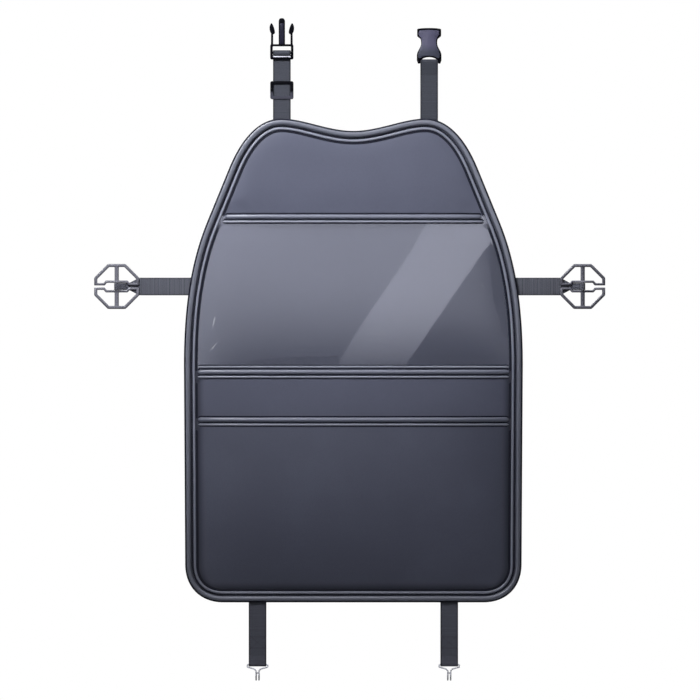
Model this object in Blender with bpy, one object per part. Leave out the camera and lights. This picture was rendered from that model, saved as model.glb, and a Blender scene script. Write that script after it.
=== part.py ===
"""Car seat back organizer: a panel with three pockets, buckle straps, side plates and wire hooks.

Metres, +Z up. The front of the panel faces -Y and the middle of its flat rear is the origin.
"""

import math

import bmesh
import bpy
from mathutils import Vector

MM = 0.001

# Clearance between pieces that touch
GAP = 0.3 * MM

# Panel outline, right half
DIP_Z = 325.9 * MM
HUMP_X = 102.0 * MM
HUMP_Z = 343.4 * MM
SHOULDER_X = 177.6 * MM
SHOULDER_Z = 269.7 * MM
FLARE_X = 206.4 * MM
FLARE_Z = 199.4 * MM
WIDE_X = 240.4 * MM
WIDE_Z = -5.0 * MM
BOTTOM_X = 238.6 * MM
BOTTOM_Z = -342.9 * MM
CORNER = 54.0 * MM

# Webbing
WEB_WIDTH = 25.0 * MM
WEB_THICK = 1.4 * MM
STRAP_TUCK = 22.0 * MM

# Panel layers
CLOTH_THICK = 1.0 * MM
BACK_INSET = 1.5 * MM
FILM_THICK = 0.5 * MM
POCKET_THICK = 0.8 * MM

# Bindings
BINDING_WIDTH = 9.7 * MM
BINDING_SLOT = 4.0 * MM
BINDING_CROWN = 5.0 * MM
PIPING_INSET = 11.9 * MM
PIPING_WIDTH = 3.7 * MM
PIPING_CROWN = 1.7 * MM
MOUTH_ROLL = 6.5 * MM
MOUTH_CROWN = 2.6 * MM
MOUTH_LIP = 1.2 * MM
MOUTH_DROP = 7.8 * MM
MOUTH_PIPING = 3.3 * MM
SHEET_INSET = 11.0 * MM
MOUTH_INSET = 16.3 * MM
POCKET_INSET = 18.3 * MM

# Pockets
WINDOW_MOUTH_Z = 205.5 * MM
WINDOW_HEM_Z = -9.1 * MM
MIDDLE_MOUTH_Z = -15.3 * MM
LOWER_MOUTH_Z = -82.8 * MM
WINDOW_DEPTH = 8.0 * MM
MIDDLE_DEPTH = 9.0 * MM
LOWER_DEPTH = 8.0 * MM
HEM_FADE = 130.0 * MM

# Straps and what hangs on them
LEFT_TOP_X = -101.5 * MM
RIGHT_TOP_X = 107.5 * MM
SIDE_Z = 105.2 * MM
BOTTOM_STRAP_X = 136.0 * MM
MALE_BAR_Z = 436.8 * MM
FEMALE_BAR_Z = 423.9 * MM
LEFT_PLATE_X = -335.7 * MM
RIGHT_PLATE_X = 325.3 * MM
HOOK_BAR_Z = -431.3 * MM
PIN_RADIUS = 2.0 * MM
WIRE_RADIUS = 1.0 * MM

# Slider
SLIDER_Z = 383.8 * MM
SLIDER_HEIGHT = 25.5 * MM
SLIDER_WIDTH = 33.0 * MM
SLIDER_BAR = 4.3 * MM
SLIDER_THICK = 1.6 * MM

# Buckles
RAIL_INSIDE = WEB_WIDTH / 2 + 0.4 * MM
FRAME_WIDTH = 33.0 * MM
PLATE_SIZE = 63.9 * MM
PLATE_FLAT = 25.1 * MM
PLATE_RIM = 4.4 * MM
PLATE_THICK = 3.0 * MM
HOOK_BAR_HALF = 14.4 * MM
HOOK_DROP = 22.0 * MM
HOOK_BEND = 5.5 * MM
HOOK_TIP = 4.5 * MM
HOOK_HANG = math.radians(14.5)

# Depths from the flat rear, towards the front
REAR_WEB_Y = -(CLOTH_THICK + GAP + WEB_THICK / 2)
FRONT_WEB_Y = REAR_WEB_Y - WEB_THICK - GAP
FOAM_REAR_Y = -(CLOTH_THICK + GAP)
FOAM_FRONT_Y = FRONT_WEB_Y - WEB_THICK / 2 - GAP
FACE_REAR_Y = FOAM_FRONT_Y - GAP
FACE_Y = FACE_REAR_Y - CLOTH_THICK
LOOP_RADIUS = PIN_RADIUS + GAP + WEB_THICK / 2
LOOP_Y = REAR_WEB_Y - LOOP_RADIUS
HOOK_LOOP_RADIUS = WIRE_RADIUS + GAP + WEB_THICK / 2
HOOK_Y = REAR_WEB_Y - HOOK_LOOP_RADIUS
PLATE_Y = FRONT_WEB_Y - WEB_THICK / 2 - GAP - PLATE_THICK / 2

for item in list(bpy.data.objects):
    bpy.data.objects.remove(item, do_unlink=True)


def material(name, colour, roughness, metallic=0.0):
    """One Principled BSDF material."""
    made = bpy.data.materials.new(name)
    made.use_nodes = True
    shader = made.node_tree.nodes["Principled BSDF"]
    shader.inputs["Base Color"].default_value = (*colour, 1.0)
    shader.inputs["Roughness"].default_value = roughness
    shader.inputs["Metallic"].default_value = metallic
    return made


def add_object(name, verts, faces, look, origin=(0.0, 0.0, 0.0)):
    """An object from world positions, with its origin where it is asked for."""
    centre = Vector(origin)
    mesh = bpy.data.meshes.new(name)
    mesh.from_pydata([Vector(v) - centre for v in verts], [], faces)
    body = bmesh.new()
    body.from_mesh(mesh)
    bmesh.ops.recalc_face_normals(body, faces=body.faces)
    body.to_mesh(mesh)
    body.free()
    made = bpy.data.objects.new(name, mesh)
    made.location = centre
    bpy.context.scene.collection.objects.link(made)
    if look is not None:
        mesh.materials.append(look)
    return made


def prism(name, points, axis, low, high, look=None, origin=(0.0, 0.0, 0.0)):
    """A flat polygon pushed along one axis; the points are in the other two axes' order."""
    place = {
        "X": lambda a, b, c: (c, a, b),
        "Y": lambda a, b, c: (a, c, b),
        "Z": lambda a, b, c: (a, b, c),
    }[axis]
    count = len(points)
    verts = [place(a, b, low) for a, b in points] + [place(a, b, high) for a, b in points]
    faces = [tuple(range(count)), tuple(range(2 * count - 1, count - 1, -1))]
    for i in range(count):
        j = (i + 1) % count
        faces.append((i, j, count + j, count + i))
    return add_object(name, verts, faces, look, origin)


def box(name, x, y, z, look=None, origin=(0.0, 0.0, 0.0)):
    """A box from its lowest and highest x, y and z."""
    points = [(x[0], z[0]), (x[1], z[0]), (x[1], z[1]), (x[0], z[1])]
    return prism(name, points, "Y", y[0], y[1], look, origin)


def circle(centre, radius, count):
    """Corner points of a regular polygon round a centre."""
    step = 2 * math.pi / count
    return [
        (centre[0] + radius * math.cos(step * (i + 0.5)), centre[1] + radius * math.sin(step * (i + 0.5)))
        for i in range(count)
    ]


def modify(target, kind, **settings):
    """Adds one modifier and keeps its result as the mesh."""
    change = target.modifiers.new(kind.title(), kind)
    for key, value in settings.items():
        setattr(change, key, value)
    bpy.context.view_layer.update()
    graph = bpy.context.evaluated_depsgraph_get()
    done = bpy.data.meshes.new_from_object(target.evaluated_get(graph))
    target.modifiers.clear()
    old = target.data
    target.data = done
    name = old.name
    bpy.data.meshes.remove(old)
    done.name = name


def combine(target, cutters, operation):
    """Exact booleans with several helper objects, which are then removed."""
    for cutter in cutters:
        modify(target, "BOOLEAN", object=cutter, operation=operation, solver="EXACT")
        bpy.data.objects.remove(cutter, do_unlink=True)


def soften(target, width, degrees=50.0):
    """A one-step bevel on the sharp edges."""
    modify(
        target, "BEVEL", width=width, segments=1, limit_method="ANGLE",
        angle_limit=math.radians(degrees), use_clamp_overlap=True,
    )


def curve(start, first, second, end, steps):
    """Points of a cubic curve, without its last one."""
    points = []
    for i in range(steps):
        t = i / steps
        a, b, c, d = (1 - t) ** 3, 3 * (1 - t) ** 2 * t, 3 * (1 - t) * t * t, t**3
        points.append(
            (
                a * start[0] + b * first[0] + c * second[0] + d * end[0],
                a * start[1] + b * first[1] + c * second[1] + d * end[1],
            )
        )
    return points


def panel_outline():
    """The panel's outer line, clockwise from the dip, and how far a step inwards moves each point."""
    slope = Vector((FLARE_X - SHOULDER_X, FLARE_Z - SHOULDER_Z)).normalized()
    hump = (HUMP_X, HUMP_Z)
    shoulder = (SHOULDER_X, SHOULDER_Z)
    flare = (FLARE_X, FLARE_Z)
    wide = (WIDE_X, WIDE_Z)
    low = (BOTTOM_X, BOTTOM_Z + CORNER)
    foot = (BOTTOM_X - CORNER, BOTTOM_Z)
    half = curve((0.0, DIP_Z), (0.036, DIP_Z), (HUMP_X - 0.031, HUMP_Z), hump, 7)
    half += curve(
        hump, (HUMP_X + 0.045, HUMP_Z),
        (SHOULDER_X - 0.02 * slope.x, SHOULDER_Z - 0.02 * slope.y), shoulder, 9,
    )
    half += [shoulder]
    half += curve(
        flare, (FLARE_X + 0.04 * slope.x, FLARE_Z + 0.04 * slope.y),
        (WIDE_X, WIDE_Z + 0.11), wide, 6,
    )
    half += [wide]
    for z in (MIDDLE_MOUTH_Z - 8 * MM, LOWER_MOUTH_Z - 3 * MM, LOWER_MOUTH_Z - 17 * MM):
        part = (wide[1] - z) / (wide[1] - low[1])
        half.append((wide[0] + part * (low[0] - wide[0]), z))
    half += curve(low, (low[0], low[1] - 0.6 * CORNER), (foot[0] + 0.6 * CORNER, foot[1]), foot, 8)
    half += [foot]
    points = half + [(-x, z) for x, z in reversed(half) if x > 1e-9]
    inward = []
    count = len(points)
    for i in range(count):
        here = Vector(points[i])
        before = (here - Vector(points[i - 1])).normalized()
        after = (Vector(points[(i + 1) % count]) - here).normalized()
        way = (before + after).normalized()
        normal = Vector((way.y, -way.x))
        inward.append(normal / max(0.5, normal.dot(Vector((after.y, -after.x)))))
    return points, inward


OUTLINE, INWARD = panel_outline()


def inset_line(inset):
    """The outline moved inwards."""
    return [(p[0] + inset * n.x, p[1] + inset * n.y) for p, n in zip(OUTLINE, INWARD)]


def half_width(z, inset):
    """Half the width of the inset outline at one height."""
    line = [p for p in inset_line(inset) if p[0] > HUMP_X * 0.7]
    line.sort(key=lambda p: p[1])
    if z <= line[0][1]:
        return line[0][0]
    for a, b in zip(line, line[1:]):
        if a[1] <= z <= b[1] and b[1] > a[1]:
            return a[0] + (b[0] - a[0]) * (z - a[1]) / (b[1] - a[1])
    return line[-1][0]


def blend(value, pairs):
    """A value read from sorted pairs, straight between them."""
    if value <= pairs[0][0]:
        return pairs[0][1]
    for a, b in zip(pairs, pairs[1:]):
        if value <= b[0]:
            return a[1] + (b[1] - a[1]) * (value - a[0]) / (b[0] - a[0])
    return pairs[-1][1]


def ring(name, section, look):
    """A closed band that follows the outline; section gives inset and depth at a height."""
    count = len(OUTLINE)
    verts = []
    for p, n in zip(OUTLINE, INWARD):
        shape = section(p[1])
        verts += [(p[0] + d * n.x, y, p[1] + d * n.y) for d, y in shape]
    size = len(verts) // count
    faces = []
    for i in range(count):
        j = (i + 1) % count
        for k in range(size):
            m = (k + 1) % size
            faces.append((i * size + k, j * size + k, j * size + m, i * size + m))
    return add_object(name, verts, faces, look)


# Looks
cloth = material("leatherette", (0.135, 0.14, 0.19), 0.5)
back_look = material("rear_cloth", (0.035, 0.036, 0.042), 0.9)
foam_look = material("foam", (0.32, 0.32, 0.32), 0.95)
film_look = material("clear_film", (0.2, 0.21, 0.27), 0.15)
pocket_look = material("pocket_leatherette", (0.07, 0.075, 0.1), 0.5)
binding_look = material("binding_leatherette", (0.06, 0.062, 0.08), 0.42)
web_look = material("webbing", (0.07, 0.075, 0.09), 0.8)
plastic_look = material("black_plastic", (0.02, 0.019, 0.025), 0.35)
plate_look = material("grey_plastic", (0.11, 0.11, 0.15), 0.4)
steel_look = material("steel", (0.62, 0.63, 0.65), 0.25, 1.0)

# Rear cloth, padding and front cloth
prism("back_cloth", inset_line(BACK_INSET), "Y", -CLOTH_THICK, 0.0, back_look)
foam = prism(
    "foam_core", inset_line(BINDING_WIDTH + GAP), "Y", FOAM_FRONT_Y, FOAM_REAR_Y, foam_look
)
prism(
    "face_panel", inset_line(BINDING_WIDTH - BINDING_SLOT + GAP), "Y", FACE_Y, FACE_REAR_Y, cloth
)

# Thick rolled binding with a slot for the front cloth
SLOT_REAR_Y = FACE_REAR_Y + GAP
SLOT_FRONT_Y = FACE_Y - GAP
ROLL_Y = SLOT_FRONT_Y - BINDING_CROWN
SLOT_INSET = BINDING_WIDTH - BINDING_SLOT


def binding_section(z):
    """The roll's section: rear, outer side, crown, then the slot."""
    w = BINDING_WIDTH
    return [
        (w, FOAM_REAR_Y), (0.2 * w, FOAM_REAR_Y), (0.05 * w, FOAM_REAR_Y - 1.7 * MM),
        (0.0, SLOT_REAR_Y), (0.04 * w, SLOT_FRONT_Y - 0.35 * BINDING_CROWN),
        (0.2 * w, SLOT_FRONT_Y - 0.78 * BINDING_CROWN), (0.48 * w, ROLL_Y),
        (0.76 * w, SLOT_FRONT_Y - 0.82 * BINDING_CROWN),
        (0.94 * w, SLOT_FRONT_Y - 0.46 * BINDING_CROWN), (w, SLOT_FRONT_Y),
        (SLOT_INSET, SLOT_FRONT_Y), (SLOT_INSET, SLOT_REAR_Y), (w, SLOT_REAR_Y),
    ]


binding = ring("edge_binding", binding_section, binding_look)

# Notches for the straps, each as deep as the doubled webbing
NOTCH_HALF = WEB_WIDTH / 2 + GAP
NOTCH_REAR_Y = -CLOTH_THICK / 2
TOP_TUCK_Z = HUMP_Z - STRAP_TUCK
SIDE_TUCK_X = half_width(SIDE_Z, 0.0) - STRAP_TUCK
BOTTOM_TUCK_Z = BOTTOM_Z + STRAP_TUCK
NOTCHES = [
    ((LEFT_TOP_X - NOTCH_HALF, LEFT_TOP_X + NOTCH_HALF), (TOP_TUCK_Z - GAP, HUMP_Z + 9 * MM)),
    ((RIGHT_TOP_X - NOTCH_HALF, RIGHT_TOP_X + NOTCH_HALF), (TOP_TUCK_Z - GAP, HUMP_Z + 9 * MM)),
    ((SIDE_TUCK_X - GAP, WIDE_X + 9 * MM), (SIDE_Z - NOTCH_HALF, SIDE_Z + NOTCH_HALF)),
    ((-WIDE_X - 9 * MM, -SIDE_TUCK_X + GAP), (SIDE_Z - NOTCH_HALF, SIDE_Z + NOTCH_HALF)),
]
for x in (-BOTTOM_STRAP_X, BOTTOM_STRAP_X):
    NOTCHES.append(((x - NOTCH_HALF, x + NOTCH_HALF), (BOTTOM_Z - 9 * MM, BOTTOM_TUCK_Z + GAP)))
combine(
    foam,
    [box("cut", x, (FOAM_FRONT_Y - MM, NOTCH_REAR_Y), z) for x, z in NOTCHES],
    "DIFFERENCE",
)
combine(
    binding,
    [box("cut", x, (SLOT_REAR_Y - 0.1 * MM, NOTCH_REAR_Y), z) for x, z in NOTCHES],
    "DIFFERENCE",
)

# Layers of cloth that end under the thin raised seam
FILM_REAR_Y = FACE_Y - GAP
MIDDLE_FRONT_Y = FILM_REAR_Y - POCKET_THICK
LOWER_REAR_Y = MIDDLE_FRONT_Y - GAP
WINDOW_SEAM_Z = WINDOW_MOUTH_Z - MOUTH_DROP
LOWER_SEAM_Z = LOWER_MOUTH_Z - MOUTH_DROP
SEAM_BASE = [
    (LOWER_MOUTH_Z - 17 * MM, LOWER_REAR_Y - POCKET_THICK - GAP),
    (LOWER_MOUTH_Z - 3 * MM, MIDDLE_FRONT_Y - GAP),
    (WINDOW_SEAM_Z - 8 * MM, MIDDLE_FRONT_Y - GAP),
    (WINDOW_SEAM_Z + 8 * MM, FACE_Y - GAP),
]


def piping_section(z):
    """A low half-round ridge that stands on whatever cloth is below it."""
    base = blend(z, SEAM_BASE)
    a, w = PIPING_INSET, PIPING_WIDTH
    return [
        (a, base), (a + 0.1 * w, base - 0.6 * PIPING_CROWN), (a + 0.5 * w, base - PIPING_CROWN),
        (a + 0.9 * w, base - 0.6 * PIPING_CROWN), (a + w, base),
    ]


ring("edge_piping", piping_section, binding_look)

# Pocket sheets
ACROSS = [0.0, 0.22, 0.44, 0.62, 0.76, 0.87, 0.95, 1.0]
ACROSS = [-u for u in reversed(ACROSS[1:])] + ACROSS
LIP_LIFT = MOUTH_LIP + GAP
HEM_Z = BOTTOM_Z + POCKET_INSET


def columns(z, inset, above=0.0):
    """Places across one row: the pocket's own columns, then its sewn edges."""
    edge = half_width(z + above, inset)
    inner = half_width(z, POCKET_INSET)
    return [-edge] + [u * inner for u in ACROSS] + [edge]


def swell(x, z, depth, hem, mouth):
    """How far a pocket stands off behind its mouth, nothing at its sides and hem."""
    u = min(1.0, abs(x) / half_width(z, POCKET_INSET))
    up = min(1.0, max(0.0, (z - hem) / HEM_FADE))
    lift = depth * (1 - u**6) * (1 - (1 - up) ** 2.5)
    near = min(1.0, max(0.0, (z - (mouth - 19 * MM)) / (7 * MM)))
    return max(lift, LIP_LIFT * near)


def window_rear(x, z):
    return FILM_REAR_Y - swell(x, z, WINDOW_DEPTH, WINDOW_HEM_Z + 3 * MM, WINDOW_MOUTH_Z)


def middle_rear(x, z):
    return FILM_REAR_Y - swell(x, z, MIDDLE_DEPTH, HEM_Z, MIDDLE_MOUTH_Z)


def lower_rear(x, z):
    return middle_rear(x, z) - POCKET_THICK - GAP - swell(x, z, LOWER_DEPTH, HEM_Z, LOWER_MOUTH_Z)


def sheet(name, rows, mouth, rear, thick, look):
    """A curved sheet with one thickness; narrower where its mouth binding sits."""
    verts = []
    for side in (0.0, -thick):
        for z in rows:
            inset = MOUTH_INSET if z > mouth - 20 * MM else SHEET_INSET
            verts += [(x, rear(x, z) + side, z) for x in columns(z, inset)]
    wide = len(ACROSS) + 2
    tall = len(rows)
    back = wide * tall
    faces = []
    for r in range(tall - 1):
        for c in range(wide - 1):
            a = r * wide + c
            faces.append((a, a + 1, a + wide + 1, a + wide))
            faces.append((back + a, back + a + wide, back + a + wide + 1, back + a + 1))
    for c in range(wide - 1):
        faces.append((c, back + c, back + c + 1, c + 1))
        top = (tall - 1) * wide + c
        faces.append((top, top + 1, back + top + 1, back + top))
    for r in range(tall - 1):
        left = r * wide
        faces.append((left, left + wide, back + left + wide, back + left))
        right = left + wide - 1
        faces.append((right, back + right, back + right + wide, right + wide))
    return add_object(name, verts, faces, look)


def mouth_rows(mouth):
    """Rows where a sheet narrows and passes into its mouth binding."""
    return [mouth - 24 * MM, mouth - 19 * MM, mouth - 12 * MM, mouth + 0.6 * MM]


def bead(name, z, rear, section, look):
    """A straight bead along a mouth; section gives height and depth about the sheet's rear."""
    verts = []
    places = columns(z, MOUTH_INSET, MOUTH_ROLL / 2)
    for x in places:
        verts += [(x, rear(x, z) + y, z + up) for up, y in section]
    size = len(section)
    last = len(places) - 1
    faces = [tuple(range(size)), tuple(range(last * size + size - 1, last * size - 1, -1))]
    for i in range(last):
        for k in range(size):
            m = (k + 1) % size
            faces.append((i * size + k, (i + 1) * size + k, (i + 1) * size + m, i * size + m))
    return add_object(name, verts, faces, look)


def mouth_roll(thick):
    """Section of a rolled mouth binding with a slot for the sheet's top edge."""
    h = MOUTH_ROLL / 2
    front = -thick - GAP
    return [
        (-h + 0.3 * MM, GAP + MOUTH_LIP), (h - MM, GAP + MOUTH_LIP), (h, GAP),
        (h, front - 0.3 * MOUTH_CROWN), (0.7 * h, front - 0.8 * MOUTH_CROWN),
        (0.0, front - MOUTH_CROWN), (-0.7 * h, front - 0.8 * MOUTH_CROWN),
        (-h, front - 0.3 * MOUTH_CROWN), (-h, front), (0.9 * MM, front),
        (0.9 * MM, GAP), (-h + 0.3 * MM, GAP),
    ]


def mouth_seam(thick):
    """Section of the thin ridge in front of a sheet."""
    h = MOUTH_PIPING / 2
    front = -thick - GAP
    return [
        (-h, front), (h, front), (0.75 * h, front - 0.7 * h), (0.0, front - h),
        (-0.75 * h, front - 0.7 * h),
    ]


window_bottom = WINDOW_HEM_Z - 2 * MM
window_rows = [window_bottom] + [window_bottom + d * MM for d in (5, 16, 32, 60, 95, 135)]
sheet(
    "tablet_window", window_rows + mouth_rows(WINDOW_MOUTH_Z), WINDOW_MOUTH_Z, window_rear,
    FILM_THICK, film_look,
)
bead("window_top_binding", WINDOW_MOUTH_Z, window_rear, mouth_roll(FILM_THICK), binding_look)
bead("window_top_piping", WINDOW_SEAM_Z, window_rear, mouth_seam(FILM_THICK), binding_look)
bead("window_bottom_piping", WINDOW_HEM_Z, window_rear, mouth_seam(FILM_THICK), binding_look)

foot_rows = [BOTTOM_Z + SHEET_INSET + d * MM for d in (0, 1.2, 4, 7.3, 14, 23, 34, 45, 70, 105, 150)]
lower_rows = foot_rows + [LOWER_MOUTH_Z - 45 * MM] + mouth_rows(LOWER_MOUTH_Z)
middle_rows = lower_rows + [LOWER_MOUTH_Z + 14 * MM] + mouth_rows(MIDDLE_MOUTH_Z)
sheet("middle_pocket", middle_rows, MIDDLE_MOUTH_Z, middle_rear, POCKET_THICK, pocket_look)
bead("middle_pocket_binding", MIDDLE_MOUTH_Z, middle_rear, mouth_roll(POCKET_THICK), binding_look)
bead(
    "middle_pocket_piping", MIDDLE_MOUTH_Z - MOUTH_DROP, middle_rear, mouth_seam(POCKET_THICK),
    binding_look,
)
sheet("lower_pocket", lower_rows, LOWER_MOUTH_Z, lower_rear, POCKET_THICK, pocket_look)
bead("lower_pocket_binding", LOWER_MOUTH_Z, lower_rear, mouth_roll(POCKET_THICK), binding_look)
bead("lower_pocket_piping", LOWER_SEAM_Z, lower_rear, mouth_seam(POCKET_THICK), binding_look)


def tangent(point, centre, radius, side):
    """Where a line from a point touches a circle, on one side."""
    to_centre = Vector(centre) - Vector(point)
    reach = math.sqrt(to_centre.length**2 - radius**2)
    turn = side * math.asin(radius / to_centre.length)
    way = to_centre.normalized()
    way = Vector(
        (way.x * math.cos(turn) - way.y * math.sin(turn), way.x * math.sin(turn) + way.y * math.cos(turn))
    )
    return Vector(point) + way * reach


def loop_path(start, rear_bend, front_bend, centre, radius, steps):
    """Webbing from its rear end round a bar and back to its front end, as distance and depth."""
    first = tangent((rear_bend, REAR_WEB_Y), centre, radius, 1)
    last = tangent((front_bend, FRONT_WEB_Y), centre, radius, -1)
    a = math.atan2(first.y - centre[1], first.x - centre[0])
    b = math.atan2(last.y - centre[1], last.x - centre[0])
    points = [(start, REAR_WEB_Y)]
    if abs(first.y - REAR_WEB_Y) > 0.01 * MM:
        points.append((rear_bend, REAR_WEB_Y))
    for i in range(steps + 1):
        angle = a + (b - a) * i / steps
        points.append((centre[0] + radius * math.cos(angle), centre[1] + radius * math.sin(angle)))
    return points + [(front_bend, FRONT_WEB_Y), (start, FRONT_WEB_Y)]


def webbing(name, path, width, place):
    """A flat band along a path; width gives half its width at a distance."""
    count = len(path)
    verts = []
    for i in range(count):
        here = Vector(path[i])
        before = (here - Vector(path[i - 1])).normalized() if i else None
        after = (Vector(path[i + 1]) - here).normalized() if i < count - 1 else None
        before = before or after
        after = after or before
        way = (before + after).normalized()
        normal = Vector((-way.y, way.x))
        shift = normal * (WEB_THICK / 2 / max(0.6, normal.dot(Vector((-before.y, before.x)))))
        half = width(here.x)
        for sign, across in ((1, -half), (1, half), (-1, half), (-1, -half)):
            p = here + sign * shift
            verts.append(place(p.x, p.y, across))
    faces = [(0, 1, 2, 3), tuple(4 * count - 4 + k for k in (3, 2, 1, 0))]
    for i in range(count - 1):
        for k in range(4):
            m = (k + 1) % 4
            faces.append((4 * i + k, 4 * i + 4 + k, 4 * i + 4 + m, 4 * i + m))
    return add_object(name, verts, faces, web_look)


def full_width(s):
    return WEB_WIDTH / 2


webbing(
    "left_top_strap",
    loop_path(
        TOP_TUCK_Z, MALE_BAR_Z - 12 * MM, MALE_BAR_Z - 8.3 * MM, (MALE_BAR_Z, LOOP_Y), LOOP_RADIUS, 10
    ),
    full_width, lambda s, y, a: (LEFT_TOP_X + a, y, s),
)
webbing(
    "right_top_strap",
    loop_path(
        TOP_TUCK_Z, FEMALE_BAR_Z - 19 * MM, FEMALE_BAR_Z - 19 * MM, (FEMALE_BAR_Z, LOOP_Y),
        LOOP_RADIUS, 10,
    ),
    full_width, lambda s, y, a: (RIGHT_TOP_X + a, y, s),
)
for side, name in ((-1, "left_bottom_strap"), (1, "right_bottom_strap")):
    webbing(
        name,
        loop_path(
            -BOTTOM_TUCK_Z, -HOOK_BAR_Z - 13 * MM, -HOOK_BAR_Z - 13 * MM, (-HOOK_BAR_Z, HOOK_Y),
            HOOK_LOOP_RADIUS, 8,
        ),
        full_width, lambda s, y, a, side=side: (side * BOTTOM_STRAP_X + a, y, -s),
    )

# Side straps narrow to pass through the keyhole slot
SLOT_WIDE = 14.2 * MM
SLOT_NARROW = 16.9 * MM
SLOT_HALF = 5.1 * MM
MOUTH_HALF = 1.45 * MM
SLOT_RAIL = 3.4 * MM
for centre, name in ((LEFT_PLATE_X, "left_side_strap"), (RIGHT_PLATE_X, "right_side_strap")):
    side = -1 if centre < 0 else 1
    far = abs(centre)

    def taper(s, far=far):
        wide = [(far - 32 * MM, WEB_WIDTH / 2), (far - SLOT_NARROW - GAP, SLOT_HALF - 0.6 * MM)]
        return blend(s, wide)

    path = loop_path(
        SIDE_TUCK_X, far - SLOT_NARROW - GAP, far - SLOT_WIDE - GAP, (far, PLATE_Y), LOOP_RADIUS, 10
    )
    path.insert(1, (far - 32 * MM, REAR_WEB_Y))
    path.insert(len(path) - 1, (far - SLOT_NARROW - GAP, FRONT_WEB_Y))
    path.insert(len(path) - 1, (far - 32 * MM, FRONT_WEB_Y))
    webbing(name, path, taper, lambda s, y, a, side=side: (side * s, y, SIDE_Z + a))

# Slider: its end bars pass in front of the webbing and its middle bar behind it
SLIDER_FRONT_Y = FRONT_WEB_Y - WEB_THICK / 2 - GAP
slider_origin = (LEFT_TOP_X, SLIDER_FRONT_Y, SLIDER_Z)
high = SLIDER_Z + SLIDER_HEIGHT / 2
low = SLIDER_Z - SLIDER_HEIGHT / 2
slider = box(
    "strap_slider", (LEFT_TOP_X - SLIDER_WIDTH / 2, LEFT_TOP_X + SLIDER_WIDTH / 2),
    (SLIDER_FRONT_Y - SLIDER_THICK, FOAM_REAR_Y + GAP + SLIDER_THICK), (low, high),
    plastic_look, slider_origin,
)
inside = (LEFT_TOP_X - RAIL_INSIDE, LEFT_TOP_X + RAIL_INSIDE)
combine(
    slider,
    [
        box("cut", inside, (SLIDER_FRONT_Y, FOAM_REAR_Y + GAP), (low - MM, high + MM)),
        box(
            "cut", inside, (SLIDER_FRONT_Y - 2 * SLIDER_THICK, SLIDER_FRONT_Y + 0.5 * MM),
            (low + SLIDER_BAR, high - SLIDER_BAR),
        ),
        box("cut", inside, (FOAM_REAR_Y, 0.01), (low - MM, SLIDER_Z - SLIDER_BAR / 2)),
        box("cut", inside, (FOAM_REAR_Y, 0.01), (SLIDER_Z + SLIDER_BAR / 2, high + MM)),
    ],
    "DIFFERENCE",
)
corners = []
for sx in (-1, 1):
    for z in (low, high):
        x = LEFT_TOP_X + sx * SLIDER_WIDTH / 2
        step = 2.4 * MM
        inner = -1 if z > 0 and z == high else 1
        corners.append(
            prism(
                "cut",
                [
                    (x + sx * MM, z - inner * MM), (x - sx * step, z - inner * MM),
                    (x - sx * step, z), (x - sx * 0.3 * step, z + inner * 0.3 * step),
                    (x, z + inner * step), (x + sx * MM, z + inner * step),
                ],
                "Y", -0.02, 0.02,
            )
        )
combine(slider, corners, "DIFFERENCE")
soften(slider, 0.4 * MM)


def mirrored(points, x, z):
    """A closed shape from its right half, placed at a centre."""
    shape = list(points) + [(-a, b) for a, b in reversed(points) if abs(a) > 1e-9]
    return [(x + a, z + b) for a, b in shape]


# Pronged buckle half
PRONG_Y = (LOOP_Y - 2.0 * MM, LOOP_Y + 2.0 * MM)
FRAME_Y = (LOOP_Y - 3.1 * MM, LOOP_Y + 1.8 * MM)
FRAME_LOW = MALE_BAR_Z - 8.6 * MM
FRAME_HIGH = MALE_BAR_Z + 10.6 * MM
GUIDE_HALF = 4.5 * MM
GUIDE_TIP = MALE_BAR_Z + 49.1 * MM
male_origin = (LEFT_TOP_X, LOOP_Y, MALE_BAR_Z)
half = FRAME_WIDTH / 2
frame = [
    (0.0, FRAME_LOW), (half - 2.2 * MM, FRAME_LOW), (half - 0.6 * MM, FRAME_LOW + 0.8 * MM),
    (half, FRAME_LOW + 2.6 * MM), (half, FRAME_HIGH - 2.2 * MM), (half - 0.6 * MM, FRAME_HIGH - 0.6 * MM),
    (half - 2.2 * MM, FRAME_HIGH), (0.0, FRAME_HIGH),
]
male = prism(
    "male_buckle", mirrored(frame, LEFT_TOP_X, 0.0), "Y", FRAME_Y[0], FRAME_Y[1], plastic_look,
    male_origin,
)
window = (FRAME_LOW + 2.1 * MM, FRAME_HIGH - 3.9 * MM)
combine(
    male,
    [
        box("cut", inside, (FRAME_Y[0] - MM, FRAME_Y[1] + MM), window),
        box("cut", inside, (FRAME_Y[0] + 2.0 * MM, FRAME_Y[1] + MM), (FRAME_LOW - MM, window[0] + MM)),
    ],
    "DIFFERENCE",
)
root_z = FRAME_HIGH - 1.5 * MM
guide = [
    (0.0, root_z), (GUIDE_HALF, root_z), (GUIDE_HALF, GUIDE_TIP - 4.0 * MM),
    (0.8 * GUIDE_HALF, GUIDE_TIP - 1.6 * MM), (0.4 * GUIDE_HALF, GUIDE_TIP - 0.3 * MM),
    (0.0, GUIDE_TIP),
]
parts = [prism("add", mirrored(guide, LEFT_TOP_X, 0.0), "Y", PRONG_Y[0], PRONG_Y[1])]
stem = [(12.7, 9.1), (15.1, 9.1), (14.9, 27.5), (15.9, 28.6), (17.2, 32.2), (17.5, 36.2),
        (16.2, 40.2), (14.8, 42.0), (12.8, 40.0), (10.6, 34.2), (9.7, 29.7), (10.5, 27.2),
        (11.8, 26.4), (12.7, 26.6)]
for side in (-1, 1):
    arm = [(LEFT_TOP_X + side * a * MM, MALE_BAR_Z + b * MM) for a, b in stem]
    parts.append(prism("add", arm, "Y", PRONG_Y[0] + 0.2 * MM, PRONG_Y[1] - 0.2 * MM))
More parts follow.
